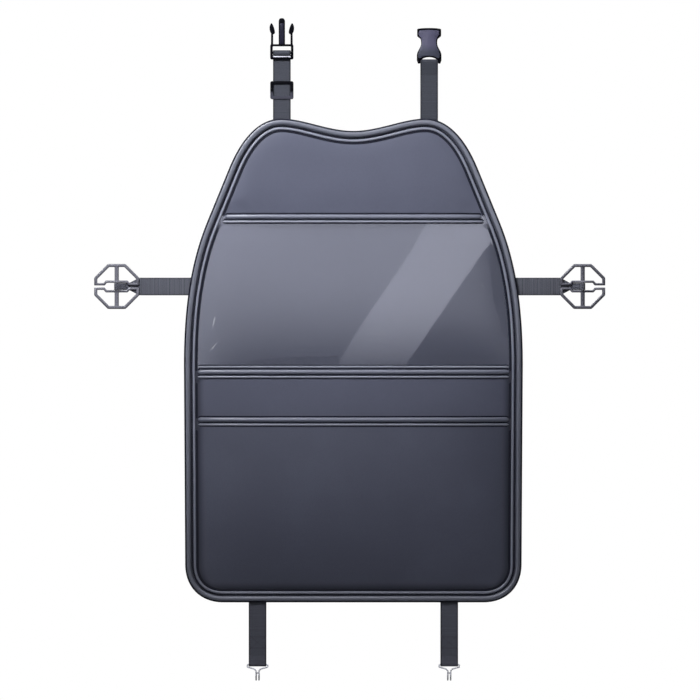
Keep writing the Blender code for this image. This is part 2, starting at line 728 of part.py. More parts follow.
rod = circle((LOOP_Y, MALE_BAR_Z), PIN_RADIUS, 12)
parts.append(prism("add", rod, "X", LEFT_TOP_X - RAIL_INSIDE - MM, LEFT_TOP_X + RAIL_INSIDE + MM))
combine(male, parts, "UNION")
soften(male, 0.35 * MM)

# Socket buckle half
SOCKET_HALF = 14.4 * MM
SOCKET_FLOOR = FEMALE_BAR_Z + 19.6 * MM
BODY_Y = (LOOP_Y - 4.8 * MM, LOOP_Y + 4.2 * MM)
female_origin = (RIGHT_TOP_X, LOOP_Y, FEMALE_BAR_Z)
body = [(0.0, 47.9), (11.0, 47.5), (15.8, 46.8), (17.0, 45.6), (17.0, 37.3), (15.9, 35.4),
        (12.9, 33.3), (11.7, 31.0), (11.35, 27.0), (11.9, 23.2), (14.3, 17.8), (16.6, 13.4),
        (17.45, 9.8), (17.45, 2.2), (16.5, 0.0), (16.2, -2.4), (12.9, -2.4), (12.9, 4.1),
        (9.0, 5.8), (4.6, 6.7), (0.0, 7.0)]
female = prism(
    "female_buckle", mirrored([(a * MM, b * MM) for a, b in body], RIGHT_TOP_X, FEMALE_BAR_Z),
    "Y", BODY_Y[0], BODY_Y[1], plastic_look, female_origin,
)
soften(female, 0.9 * MM, 70.0)
combine(
    female,
    [
        box(
            "cut", (RIGHT_TOP_X - SOCKET_HALF, RIGHT_TOP_X + SOCKET_HALF),
            (LOOP_Y - 2.6 * MM, LOOP_Y + 2.6 * MM), (SOCKET_FLOOR, FEMALE_BAR_Z + 60 * MM),
        )
    ],
    "DIFFERENCE",
)
rod = circle((LOOP_Y, FEMALE_BAR_Z), PIN_RADIUS, 12)
combine(
    female,
    [prism("add", rod, "X", RIGHT_TOP_X - RAIL_INSIDE - 2 * MM, RIGHT_TOP_X + RAIL_INSIDE + 2 * MM)],
    "UNION",
)


def octagon(size, flat):
    """An octagon with straight sides of one length, as points about its centre."""
    a, b = size / 2, flat / 2
    return [(b, a), (a, b), (a, -b), (b, -a), (-b, -a), (-a, -b), (-a, b), (-b, a)]


def anchor_plate(name, x):
    """An eight-sided ring, an upright bar and a keyhole slot across the middle."""
    origin = (x, PLATE_Y, SIDE_Z)
    depth = (PLATE_Y - PLATE_THICK / 2, PLATE_Y + PLATE_THICK / 2)
    cut = (depth[0] - MM, depth[1] + MM)
    plate = prism(
        name, [(x + a, SIDE_Z + b) for a, b in octagon(PLATE_SIZE, PLATE_FLAT)], "Y", *depth,
        plate_look, origin,
    )
    bar = 3.0 * MM
    rim = PLATE_SIZE / 2 - PLATE_RIM
    flat = PLATE_FLAT / 2 - PLATE_RIM * math.tan(math.pi / 8)
    shape = [
        (bar, SLOT_HALF + SLOT_RAIL), (SLOT_WIDE + 1.2 * MM, SLOT_HALF + SLOT_RAIL),
        (SLOT_NARROW + 1.7 * MM, MOUTH_HALF + SLOT_RAIL), (rim, MOUTH_HALF + SLOT_RAIL),
        (rim, flat), (flat, rim), (bar, rim),
    ]
    cutters = []
    for sx in (-1, 1):
        for sz in (-1, 1):
            points = [(x + sx * a, SIDE_Z + sz * b) for a, b in shape]
            cutters.append(prism("cut", points, "Y", *cut))
    slot = [
        (PLATE_SIZE, MOUTH_HALF), (SLOT_NARROW, MOUTH_HALF), (SLOT_WIDE, SLOT_HALF),
        (-SLOT_WIDE, SLOT_HALF), (-SLOT_NARROW, MOUTH_HALF), (-PLATE_SIZE, MOUTH_HALF),
    ]
    slot += [(a, -b) for a, b in reversed(slot)]
    cutters.append(prism("cut", [(x + a, SIDE_Z + b) for a, b in slot], "Y", *cut))
    combine(plate, cutters, "DIFFERENCE")
    soften(plate, 0.5 * MM)
    pin = circle((x, PLATE_Y), PIN_RADIUS, 12)
    pin = prism("add", pin, "Z", SIDE_Z - SLOT_HALF - MM, SIDE_Z + SLOT_HALF + MM)
    combine(plate, [pin], "UNION")
    return plate


anchor_plate("left_anchor_plate", LEFT_PLATE_X)
anchor_plate("right_anchor_plate", RIGHT_PLATE_X)


def rounded_path(points, radius, steps):
    """A closed path through points, with each corner turned into a short arc."""
    line = []
    count = len(points)
    for i in range(count):
        here = Vector(points[i])
        before = Vector(points[i - 1])
        after = Vector(points[(i + 1) % count])
        reach = min(radius[i], (here - before).length * 0.48, (after - here).length * 0.48)
        if reach <= 0.0:
            line.append(here)
            continue
        first = here + (before - here).normalized() * reach
        last = here + (after - here).normalized() * reach
        for k in range(steps + 1):
            t = k / steps
            line.append((1 - t) ** 2 * first + 2 * t * (1 - t) * here + t * t * last)
    return line


def wire(name, line, radius, sides, look, origin):
    """A closed round wire along a closed line."""
    count = len(line)
    verts = []
    up = Vector((0.0, 1.0, 0.0))
    for i in range(count):
        way = (line[(i + 1) % count] - line[i - 1]).normalized()
        across = up - way * up.dot(way)
        across.normalize()
        other = way.cross(across)
        up = across
        for k in range(sides):
            angle = 2 * math.pi * (k + 0.5) / sides
            spoke = across * math.cos(angle) + other * math.sin(angle)
            verts.append(line[i] + spoke * radius)
    faces = []
    best = min(
        range(sides), key=lambda m: (verts[(count - 1) * sides] - verts[m]).length
    )
    for i in range(count):
        j = (i + 1) % count
        shift = best if j == 0 else 0
        for k in range(sides):
            a = i * sides + k
            b = i * sides + (k + 1) % sides
            c = j * sides + (k + 1 + shift) % sides
            d = j * sides + (k + shift) % sides
            faces.append((a, b, c, d))
    return add_object(name, verts, faces, look, origin)


def hook(name, x):
    """A bar through the webbing, a neck, two wires side by side and a turned-back end."""
    neck = 2.05 * MM
    turn = HOOK_DROP - HOOK_BEND
    half = [
        ((HOOK_BAR_HALF, 0.0, 0.0), 1.8 * MM),
        ((HOOK_BAR_HALF, 0.0, -4.6 * MM), 1.2 * MM),
        ((neck + 1.6 * MM, 0.0, -8.8 * MM), 1.6 * MM),
        ((neck, 0.0, -11.4 * MM), 1.0 * MM),
        ((neck, 0.0, -turn), 0.0),
    ]
    for i in range(1, 8):
        angle = math.pi * i / 8
        half.append(
            (
                (neck, HOOK_BEND * (1 - math.cos(angle)), -turn - HOOK_BEND * math.sin(angle)),
                0.0,
            )
        )
    half.append(((neck, 2 * HOOK_BEND, -turn), 0.0))
    half.append(((neck, 2 * HOOK_BEND, -turn + HOOK_TIP), 1.9 * MM))
    whole = half + [((-p[0], p[1], p[2]), r) for p, r in reversed(half)]
    line = rounded_path([p for p, r in whole], [r for p, r in whole], 3)
    cos, sin = math.cos(HOOK_HANG), math.sin(HOOK_HANG)
    line = [
        Vector((x + p.x, HOOK_Y + p.y * cos + p.z * sin, HOOK_BAR_Z - p.y * sin + p.z * cos))
        for p in line
    ]
    return wire(name, line, WIRE_RADIUS, 8, steel_look, (x, HOOK_Y, HOOK_BAR_Z))


hook("left_hook", -BOTTOM_STRAP_X)
hook("right_hook", BOTTOM_STRAP_X)
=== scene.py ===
"""Car seat back organizer: panel, tablet window, two pockets, straps, buckle halves, plates, hooks."""
import math

import bmesh
import bpy
import numpy as np
from mathutils import Matrix, Vector, noise


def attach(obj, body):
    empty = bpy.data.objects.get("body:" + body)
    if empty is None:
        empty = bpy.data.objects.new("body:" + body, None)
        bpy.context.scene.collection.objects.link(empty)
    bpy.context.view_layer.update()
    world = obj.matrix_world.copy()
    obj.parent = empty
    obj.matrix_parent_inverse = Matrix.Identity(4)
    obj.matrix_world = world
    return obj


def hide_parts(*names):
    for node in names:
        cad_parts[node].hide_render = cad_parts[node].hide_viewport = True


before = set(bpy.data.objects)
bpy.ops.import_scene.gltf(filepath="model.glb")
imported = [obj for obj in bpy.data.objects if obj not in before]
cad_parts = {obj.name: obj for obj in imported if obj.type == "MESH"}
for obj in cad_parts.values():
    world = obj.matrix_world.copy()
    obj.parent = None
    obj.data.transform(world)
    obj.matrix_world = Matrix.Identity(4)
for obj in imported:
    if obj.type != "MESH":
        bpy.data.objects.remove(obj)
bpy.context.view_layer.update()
MM = 0.001

# Panel outline and padding board
# The panel is a padding board between two cloths, cut to one outline: a shallow dip
# between two humps on top, sides that flare out, and rounded lower corners.
# The board is sealed in by the cloths and the binding.
GAP = 0.3 * MM
DIP_Z, HUMP, SHOULDER = 0.3259, (0.102, 0.3434), (0.1776, 0.2697)
FLARE, WIDE, FOOT_Z, FOOT_X, CORNER = (0.2064, 0.1994), (0.2404, -0.005), -0.3429, 0.2386, 0.054
FACE_Y, FACE_REAR_Y, FOAM_REAR_Y = -6.0 * MM, -5.0 * MM, -1.3 * MM


def bezier(a, b, c, d, steps):
    """Points of a cubic curve without the last one."""
    t = np.linspace(0, 1, steps, endpoint=False)[:, None]
    a, b, c, d = (np.array(p, float) for p in (a, b, c, d))
    return (1 - t) ** 3 * a + 3 * (1 - t) ** 2 * t * b + 3 * (1 - t) * t**2 * c + t**3 * d


def panel_outline():
    """Stations round the panel, and the step inwards at each of them."""
    low, foot = (FOOT_X, FOOT_Z + CORNER), (FOOT_X - CORNER, FOOT_Z)
    way = np.subtract(FLARE, SHOULDER)
    way /= np.linalg.norm(way)
    half = np.vstack([
        bezier((0, DIP_Z), (0.036, DIP_Z), (HUMP[0] - 0.031, HUMP[1]), HUMP, 28),
        bezier(HUMP, (HUMP[0] + 0.045, HUMP[1]), SHOULDER - 0.02 * way, SHOULDER, 36),
        np.linspace(SHOULDER, FLARE, 18, endpoint=False),
        bezier(FLARE, FLARE + 0.04 * way, (WIDE[0], WIDE[1] + 0.11), WIDE, 50),
        np.linspace(WIDE, low, 68, endpoint=False),
        bezier(low, (low[0], low[1] - 0.6 * CORNER), (foot[0] + 0.6 * CORNER, foot[1]), foot, 28),
        np.linspace(foot, (0, FOOT_Z), 46, endpoint=False),
        [(0, FOOT_Z)],
    ])
    line = np.vstack([half, half[1:-1][::-1] * (-1, 1)])
    ahead = np.roll(line, -1, 0) - np.roll(line, 1, 0)
    ahead /= np.linalg.norm(ahead, axis=1)[:, None]
    return line, np.column_stack([ahead[:, 1], -ahead[:, 0]])


OUTLINE, INWARD = panel_outline()
AROUND = np.concatenate([[0], np.cumsum(np.linalg.norm(np.diff(OUTLINE, axis=0), axis=1))])


def inset_line(inset):
    """The outline moved inwards."""
    return OUTLINE + inset * INWARD


def half_width(z, inset):
    """Half the width of the inset outline at one height."""
    line = inset_line(inset)[28:230]
    return float(np.interp(z, line[::-1, 1], line[::-1, 0]))


def smooth(value, low, high):
    """0 below low, 1 above high, and an even curve between."""
    t = np.clip((value - low) / (high - low), 0, 1)
    return t * t * (3 - 2 * t)


def waves(x, z, size, seed):
    """Slow unevenness of cloth, from -1 to 1."""
    return noise.noise(Vector((x / size, z / size, seed)))


def in_scene(name, data):
    """An object of its own for some data."""
    made = bpy.data.objects.new(name, data)
    bpy.context.scene.collection.objects.link(made)
    return made


def mesh_piece(name, verts, faces, look, uv=None, sharp=40):
    """A finished piece from its points; uv gives a place on the cloth for every point."""
    mesh = bpy.data.meshes.new(name)
    mesh.from_pydata([tuple(v) for v in verts], [], faces)
    mesh.polygons.foreach_set("use_smooth", [True] * len(mesh.polygons))
    mesh.set_sharp_from_angle(angle=math.radians(sharp))
    if uv is not None:
        layer = mesh.uv_layers.new(name="UVMap")
        index = np.zeros(len(mesh.loops), int)
        mesh.loops.foreach_get("vertex_index", index)
        layer.data.foreach_set("uv", np.asarray(uv, float)[index].ravel())
    mesh.materials.append(look)
    return in_scene(name, mesh)


def lattice(name, grid, look, closed=True, uv=None, sharp=40, twist=0):
    """A skin over rows of rings: its last row joins the first, turned by twist, or both ends get a cap."""
    rows, size = grid.shape[:2]
    faces = []
    for r in range(rows if closed else rows - 1):
        n, shift = (r + 1) % rows, twist if r == rows - 1 else 0
        for c in range(size):
            d = (c + 1) % size
            a, b = n * size + (c + shift) % size, n * size + (d + shift) % size
            faces.append((r * size + c, a, b, r * size + d))
    if not closed:
        faces.append(tuple(range(size)))
        faces.append(tuple(range(rows * size - 1, (rows - 1) * size - 1, -1)))
    return face_out(mesh_piece(name, grid.reshape(-1, 3), faces, look, uv, sharp))


def face_out(piece):
    """Turns every face of a closed piece outwards."""
    body = bmesh.new()
    body.from_mesh(piece.data)
    bmesh.ops.recalc_face_normals(body, faces=body.faces)
    body.to_mesh(piece.data)
    body.free()
    return piece


def group(name, kind, inputs, outputs):
    """A node group with named sockets."""
    tree = bpy.data.node_groups.new(name, kind)
    for side, sockets in (("INPUT", inputs), ("OUTPUT", outputs)):
        for label, holds in sockets.items():
            tree.interface.new_socket(name=label, in_out=side, socket_type="NodeSocket" + holds)
    return tree, tree.nodes.new("NodeGroupInput"), tree.nodes.new("NodeGroupOutput")


def node(tree, kind, links=(), **settings):
    """Adds a node, sets what is named, and joins the given sockets to its inputs."""
    made = tree.nodes.new(kind)
    for key, value in settings.items():
        if key.startswith("in_"):
            made.inputs[int(key[3:])].default_value = value
        else:
            setattr(made, key, value)
    for socket, source in links:
        tree.links.new(source, made.inputs[socket])
    return made


def math_node(tree, operation, *sides):
    """One sum; a number or a socket for each side."""
    made = tree.nodes.new("ShaderNodeMath")
    made.operation = operation
    for i, side in enumerate(sides):
        if isinstance(side, (int, float)):
            made.inputs[i].default_value = side
        else:
            tree.links.new(side, made.inputs[i])
    return made.outputs[0]


def turned(tree, value, low, high, start=0.0, end=1.0, **settings):
    """A value that runs from low to high, turned into start to end and held at both."""
    made = node(tree, "ShaderNodeMapRange", [("Value", value)], **settings)
    for socket, number in zip(("From Min", "From Max", "To Min", "To Max"), (low, high, start, end)):
        made.inputs[socket].default_value = number
    return made.outputs[0]


def own_place(tree):
    """Places on the piece itself."""
    return node(tree, "ShaderNodeTexCoord").outputs["Object"]


def mottle(tree, place, scale, detail):
    """Uneven tone from 0 to 1."""
    return node(tree, "ShaderNodeTexNoise", [("Vector", place)], in_2=scale, in_3=detail).outputs["Fac"]


def leather_grain():
    """Pebbled grain of synthetic leather: height, a mask of the creases and slow patches."""
    tree, put, out = group(
        "leather_grain", "ShaderNodeTree", {"Place": "Vector"},
        {"Height": "Float", "Crease": "Float", "Patch": "Float"},
    )
    place = put.outputs["Place"]
    bend = mottle(tree, place, 320.0, 3.0).node.outputs["Color"]
    shift = node(tree, "ShaderNodeVectorMath", [(0, bend)], operation="SCALE")
    shift.inputs["Scale"].default_value = 1.2 * MM
    moved = node(tree, "ShaderNodeVectorMath", [(0, place), (1, shift.outputs[0])], operation="ADD")
    cells = node(
        tree, "ShaderNodeTexVoronoi", [(0, moved.outputs[0])], feature="DISTANCE_TO_EDGE", in_2=900.0
    )
    edge = turned(tree, cells.outputs["Distance"], 0.0, 0.22)
    height = math_node(tree, "MULTIPLY_ADD", mottle(tree, place, 2600.0, 2.0), 0.25, edge)
    tree.links.new(height, out.inputs["Height"])
    tree.links.new(math_node(tree, "SUBTRACT", 1.0, edge), out.inputs["Crease"])
    tree.links.new(mottle(tree, place, 9.0, 4.0), out.inputs["Patch"])
    return tree


GRAIN = leather_grain()


def principled(name, roughness, specular=0.5, metallic=0.0, coat=0.0, sheen=0.0):
    """A material whose uniform values sit on the shader itself."""
    made = bpy.data.materials.new(name)
    made.use_nodes = True
    shader = made.node_tree.nodes["Principled BSDF"]
    for socket, value in (
        ("Roughness", roughness), ("Specular IOR Level", specular), ("Metallic", metallic),
        ("Coat Weight", coat), ("Coat Roughness", 0.2), ("Sheen Weight", sheen),
    ):
        shader.inputs[socket].default_value = value
    return made, made.node_tree, shader


def ramp(tree, factor, stops):
    """A colour ramp from places and linear colours."""
    made = tree.nodes.new("ShaderNodeValToRGB")
    while len(made.color_ramp.elements) > 1:
        made.color_ramp.elements.remove(made.color_ramp.elements[-1])
    for i, (place, colour) in enumerate(stops):
        stop = made.color_ramp.elements[0] if i == 0 else made.color_ramp.elements.new(place)
        stop.position = place
        stop.color = (*colour, 1)
    tree.links.new(factor, made.inputs[0])
    return made.outputs[0]


def bumped(tree, shader, height, strength, depth):
    """Feeds a height to the shader's normal."""
    bump = node(tree, "ShaderNodeBump", [("Height", height)])
    bump.inputs["Strength"].default_value = strength
    bump.inputs["Distance"].default_value = depth
    tree.links.new(bump.outputs[0], shader.inputs["Normal"])


def mixed(tree, share, first, second):
    """One colour laid over another by a share."""
    made = node(tree, "ShaderNodeMix", [(0, share), (6, first)], data_type="RGBA")
    made.inputs[7].default_value = (*second, 1)
    return made.outputs[2]


def leatherette(name, dark, light, roughness, specular, relief):
    """Synthetic leather: grain in the normal, darker creases, slow patches of tone, and painted shade where a
    piece carries a seam shade value.
    """
    made, tree, shader = principled(name, roughness, specular)
    grain = node(tree, "ShaderNodeGroup", node_tree=GRAIN)
    tree.links.new(own_place(tree), grain.inputs["Place"])
    crease, painted_seam_shade = grain.outputs["Crease"], node(tree, "ShaderNodeAttribute", attribute_name="painted_seam_shade")
    tone = math_node(tree, "MULTIPLY_ADD", crease, -0.35, grain.outputs["Patch"])
    colour = ramp(tree, tone, [(0.2, dark), (0.62, light)])
    # Painted shade: the colour darkens by the piece's seam shade value, near its sewn edges.
    colour = mixed(tree, painted_seam_shade.outputs["Fac"], colour, [0.12 * v for v in dark])
    tree.links.new(colour, shader.inputs["Base Color"])
    rough = math_node(tree, "MULTIPLY_ADD", crease, 0.12, roughness - 0.03)
    tree.links.new(rough, shader.inputs["Roughness"])
    bumped(tree, shader, grain.outputs["Height"], relief, 0.00025)
    return made


def mottled(name, settings, scale, detail, stops, relief):
    """A plain finish with an even mottle in its colour and its height."""
    made, tree, shader = principled(name, **settings)
    tone = mottle(tree, own_place(tree), scale, detail)
    tree.links.new(ramp(tree, tone, stops), shader.inputs["Base Color"])
    bumped(tree, shader, tone, *relief)
    return made, tree, shader, tone


def hand_over(piece, body, old=None):
    """Gives a piece to its body and takes the plain solid's place."""
    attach(piece, body)
    if old:
        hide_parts(old)


board_stops = [(0.3, (0.22,) * 3), (0.7, (0.4, 0.4, 0.39))]
board_rough = {"roughness": 0.95, "specular": 0.2}
board_look = mottled("padding_board", board_rough, 400.0, 5.0, board_stops, (0.4, 0.0003))[0]
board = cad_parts["foam_core"]
board.data.materials.clear()
board.data.materials.append(board_look)

# Front cloth
# Smooth synthetic leather over the board, sewn into the binding all round.
# Only its top shows bare, and there the padding lifts it a little inside the seam.
FACE_DARK, FACE_LIGHT = (0.114, 0.121, 0.172), (0.132, 0.14, 0.198)
FACE_LIFT, SEAM_INSIDE = 2.4 * MM, 18.4 * MM
face_look = leatherette("front_leatherette", FACE_DARK, FACE_LIGHT, 0.5, 0.25, 0.09)


def panel_shell(name, insets, centre, front, back, look):
    """A closed cloth that fills the outline: rings that step inwards, then shrink to a centre."""
    rings = [(inset_line(d), d) for d in insets]
    last, depth = rings[-1]
    rings += [(centre + (last - centre) * f, depth + (1 - f) * 0.2) for f in np.linspace(0.92, 0.08, 14)]
    count = len(OUTLINE)
    verts, faces = [], []
    for side in (front, back):
        for line, d in rings:
            verts += [(x, side(x, z, d), z) for x, z in line]
        verts.append((centre[0], side(*centre, 0.25), centre[1]))
    half = len(rings) * count + 1
    for k in (0, half):
        for r in range(len(rings) - 1):
            for c in range(count):
                a, b = k + r * count + c, k + r * count + (c + 1) % count
                faces.append((a, b, b + count, a + count))
        inner = k + (len(rings) - 1) * count
        faces += [(inner + c, inner + (c + 1) % count, k + half - 1) for c in range(count)]
    faces += [(c, half + c, half + (c + 1) % count, (c + 1) % count) for c in range(count)]
    uv = [(x, z) for x, y, z in verts]
    return face_out(mesh_piece(name, verts, faces, look, uv))


def face_front(x, z, d):
    """The bare top swells inside its seam; below the window's mouth the cloth lies flat."""
    bare = float(smooth(z, 0.213, 0.232))
    inside = max(0.0, d - SEAM_INSIDE)
    lift = FACE_LIFT * (1 - math.exp(-inside / 0.009)) * bare
    return FACE_Y - lift * (1 + 0.12 * waves(x, z, 0.06, 3.0)) - 0.15 * MM * bare * waves(x, z, 0.025, 8.0)


CENTRE = np.array([0.0, -0.02])
face_insets = [d * MM for d in (6, 9, 12, 14, 16, 17, 18, 19.5, 21, 23, 26, 30, 35, 41)]
face = panel_shell("front_cloth", face_insets, CENTRE, face_front, lambda x, z, d: FACE_REAR_Y, face_look)
hand_over(face, "panel", "face_panel")

# Rear cloth
# Thin non-woven cloth that closes the panel behind and lies against the seat.
# It is pressed with small dots and sewn to the binding near its edge.
back_look, back_tree, back_shader = principled("rear_nonwoven", 0.9, 0.2, sheen=0.2)
back_place = own_place(back_tree)
dots = node(back_tree, "ShaderNodeTexVoronoi", [("Vector", back_place)], in_2=420.0)
dots.inputs["Randomness"].default_value = 0.12
dot = turned(back_tree, dots.outputs["Distance"], 0.18, 0.34)
felt = math_node(back_tree, "MULTIPLY_ADD", mottle(back_tree, back_place, 1500.0, 4.0), 0.5, dot)
back_tree.links.new(
    ramp(back_tree, felt, [(0.3, (0.048, 0.051, 0.064)), (1.3, (0.136, 0.141, 0.166))]),
    back_shader.inputs["Base Color"],
)
bumped(back_tree, back_shader, felt, 0.6, 0.0003)


def rear_front(x, z, d):
    """The side towards the padding board is flat."""
    return -1.0 * MM


def rear_face(x, z, d):
    """Flat where it lies on the seat, with a faint dip along the seam near the edge."""
    return -0.25 * MM * math.exp(-(((d - 6.4 * MM) / (1.0 * MM)) ** 2))


rear_insets = [d * MM for d in (1.5, 2.2, 4, 5, 5.7, 6.4, 7.1, 7.8, 9, 12, 18, 26, 36)]
rear = panel_shell("rear_cloth", rear_insets, CENTRE, rear_front, rear_face, back_look)
hand_over(rear, "panel", "back_cloth")

# Edge binding and its inner seam
# A strip of the same synthetic leather rolled over a soft cord round the whole edge,
# then a thin turned ridge where the strip is sewn down through the cloths.
# The straps pass through it from behind.
ROLL_WIDTH, SLOT_IN, ROLL_CROWN = 9.7 * MM, 5.7 * MM, 5.0 * MM
SLOT_FRONT, SLOT_REAR = FACE_Y - GAP, FACE_REAR_Y + GAP
SEAM_IN, SEAM_WIDE, SEAM_CROWN = 12.2 * MM, 3.6 * MM, 1.8 * MM
FLANGE_OUT, FLANGE_IN, ROLL_SIDES = 9.9 * MM, 19.4 * MM, 22
TOP_STRAPS, SIDE_Z, BOTTOM_X = (-0.1015, 0.1075), 0.1052, 0.136
roll_look = leatherette("binding_leatherette", (0.105, 0.113, 0.147), (0.137, 0.147, 0.188), 0.34, 1.0, 0.1)
# The piping leatherette is lighter than the cloth: partly the piping's own lighter colour, partly a painted
# highlight.
ridge_look = leatherette("piping_leatherette", (0.25, 0.262, 0.33), (0.3, 0.314, 0.39), 0.34, 0.9, 0.1)
# Near-black leatherette: painted shade in the grooves beside the ridges, on the roll's outer flank and above
# each mouth; on the rear it is the binding's plain dark colour.
dark_and_shade_look = leatherette("seam_margin", (0.008, 0.009, 0.018), (0.014, 0.015, 0.028), 0.55, 0.15, 0.3)


def strap_here(x, z):
    """True where a strap passes under the binding."""
    near = 12.9 * MM
    if z > 0.3:
        return min(abs(x - s) for s in TOP_STRAPS) < near
    if z < -0.3:
        return abs(abs(x) - BOTTOM_X) < near
    return abs(z - SIDE_Z) < near


def binding_rings():
    """Sections of the roll: the padded crown, then the rear lip and the slot for the cloth."""
    rings = []
    for i, (p, n) in enumerate(zip(OUTLINE, INWARD)):
        run = AROUND[i]
        pull = 0.1 * MM * math.sin(run / 0.0078 * 2 * math.pi) + 0.12 * MM * waves(run, 0, 0.03, 1.0)
        lip = SLOT_REAR - 0.1 * MM if strap_here(*p) else FOAM_REAR_Y
        ring = []
        for k in range(15):
            a = math.pi * k / 14
            d = ROLL_WIDTH / 2 * (1 - math.copysign(abs(math.cos(a)) ** 0.85, math.cos(a)))
            ring.append((d, SLOT_FRONT - (ROLL_CROWN + pull) * math.sin(a) ** 0.62))
        ring += [(SLOT_IN, SLOT_FRONT), (SLOT_IN, SLOT_REAR), (ROLL_WIDTH, SLOT_REAR)]
        ring += [(ROLL_WIDTH, lip), (2.2 * MM, lip), (0.9 * MM, max(lip - 0.6 * MM, SLOT_REAR - 0.2 * MM))]
        ring += [(0.25 * MM, min(lip - 1.8 * MM, SLOT_REAR + 0.9 * MM))]
        rings.append([(p[0] + d * n[0], y, p[1] + d * n[1]) for d, y in ring])
    return np.array(rings)


roll = lattice("edge_roll", binding_rings(), roll_look)
# The roll's outer flank takes the near-black look as painted shade for its dark outline; its hidden rear lip
# takes it too.
roll.data.materials.append(dark_and_shade_look)
for i, side in enumerate(roll.data.polygons):
    side.material_index = int(i % ROLL_SIDES < 5 or i % ROLL_SIDES > 15)
SEAM_BASE = ((-0.0998, -0.0858, 0.1897, 0.2057), (-0.0088, -0.0074, -0.0074, -0.0063))


def seam_rings(section, base_of):
    """A profile carried round the panel, on whatever cloth runs under it."""
    rings = []
    for i, (p, n) in enumerate(zip(OUTLINE, INWARD)):
        base, run = base_of(p[1]), AROUND[i]
        pull = 1 + 0.04 * math.sin(run / 0.0039 * math.pi) + 0.05 * waves(run, 0, 0.02, 5.0)
        rings.append([(p[0] + d * n[0], base + y * pull, p[1] + d * n[1]) for d, y in section])
    return np.array(rings)


def seam_base(z):
    """The front of the cloth under the seam at one height."""
    return float(np.interp(z, *SEAM_BASE))


ridge = [
    (SEAM_IN + SEAM_WIDE / 2 * (1 - math.cos(a)), -0.2 * MM - (SEAM_CROWN - 0.2 * MM) * math.sin(a) ** 0.6)
    for a in np.linspace(0, math.pi, 11)
]
seam = lattice("edge_ridge", seam_rings(ridge, seam_base), ridge_look)
# A flat strip each side of the ridge, near-black as painted shade in the groove.
margin_shape = [
    (FLANGE_OUT, 0), (FLANGE_OUT, -0.3 * MM), (17.2 * MM, -0.3 * MM), (FLANGE_IN, -0.1 * MM), (FLANGE_IN, 0)
]
margin = lattice("edge_groove_shade", seam_rings(margin_shape, seam_base), dark_and_shade_look)
for piece, old in ((roll, "edge_binding"), (seam, "edge_piping"), (margin, None)):
    hand_over(piece, "panel", old)

# Binding on the rear
# The strip's other half, folded flat over the rear cloth and caught by the same seam.
# It stands 0.35 mm off the cloth, with a dip where the stitches run.
rear_profile = [(0.5, -0.4), (0.4, -0.1), (0.8, 0.2), (1.6, 0.35), (6.8, 0.35), (7.5, 0.1), (8.2, 0.35),
                (9.6, 0.3), (10.1, 0.1), (10.1, -0.4)]
rear_shape = [(d * MM, y * MM) for d, y in rear_profile]
rear_strip = lattice("rear_binding", seam_rings(rear_shape, lambda z: 0.0), dark_and_shade_look)
hand_over(rear_strip, "panel")

# Tablet window
# A sheet of clear soft film sewn over the panel on three sides, open at the top.
# It stands off for the tablet and shows faint folds along its sewn sides.
SHEET_IN, MOUTH_IN, POCKET_IN = 11.0 * MM, 16.3 * MM, 18.3 * MM
WINDOW_TOP, WINDOW_HEM, MIDDLE_TOP, LOWER_TOP = 0.2048, -0.0091, -0.0153, -0.0828
WINDOW_DEEP, MIDDLE_DEEP, LOWER_DEEP = 8.0 * MM, 9.0 * MM, 8.0 * MM
WINDOW_FADE, POCKET_FADE = 0.13, 0.19
LIP_LIFT, MOUTH_DROP, FILM_THICK, POCKET_THICK = 1.5 * MM, 7.8 * MM, 0.5 * MM, 0.8 * MM
HEM_Z = FOOT_Z + POCKET_IN
FILM_REAR_Y = FACE_Y - GAP


def swell(x, z, depth, hem, mouth, fade):
    """How far a pocket stands off: nothing at its hem and sides, all of it at its mouth."""
    u = min(1.0, abs(x) / half_width(z, POCKET_IN))
    up = min(1.0, max(0.0, (z - hem) / fade))
    lift = depth * (1 - u**6) * (1 - (1 - up) ** 2.5)
    return max(lift, LIP_LIFT * min(1.0, max(0.0, (z - mouth + 19 * MM) / (7 * MM))))


def film_rear(x, z):
    """The rear of the film, with folds along its sewn sides and a little slack."""
    lift = swell(x, z, WINDOW_DEEP, WINDOW_HEM - 2 * MM, WINDOW_TOP, WINDOW_FADE)
    side = math.exp(-((1 - min(1.0, abs(x) / half_width(z, POCKET_IN))) / 0.05) ** 2)
    free = float(smooth(z, WINDOW_HEM + 0.01, WINDOW_HEM + 0.03) * smooth(WINDOW_TOP - z, 0.012, 0.03))
    fold = 0.55 * MM * side * free * waves(x * 2.2, z, 0.045, 2.0 + math.copysign(1, x))
    slack = 0.12 * MM * free * min(1.0, lift / (4 * MM)) * waves(x, z, 0.11, 7.0)
    return FILM_REAR_Y - max(0.0, lift + fold * min(1.0, lift / (1 * MM)) + slack)


def middle_rear(x, z):
    """The rear of the middle pocket's sheet."""
    return FILM_REAR_Y - swell(x, z, MIDDLE_DEEP, HEM_Z, MIDDLE_TOP, POCKET_FADE)


def lower_rear(x, z):
    """The rear of the lower pocket's sheet, in front of the middle one."""
    lift = swell(x, z, LOWER_DEEP, HEM_Z, LOWER_TOP, POCKET_FADE)
    slack = 0.5 * MM * min(1.0, lift / (5 * MM)) * float(smooth(LOWER_TOP - z, 0.015, 0.05))
    return middle_rear(x, z) - POCKET_THICK - GAP - lift - slack * waves(x, z, 0.09, 12.0)


COLUMNS = np.sin(np.linspace(-1, 1, 61) * math.pi / 2)


def row_places(z, inset, above=0.0):
    """Places across one row, with the sewn edges outside the pocket's own columns."""
    edge, inner = half_width(z + above, inset), half_width(z, POCKET_IN)
    return np.concatenate([[-edge], COLUMNS * inner, [edge]])


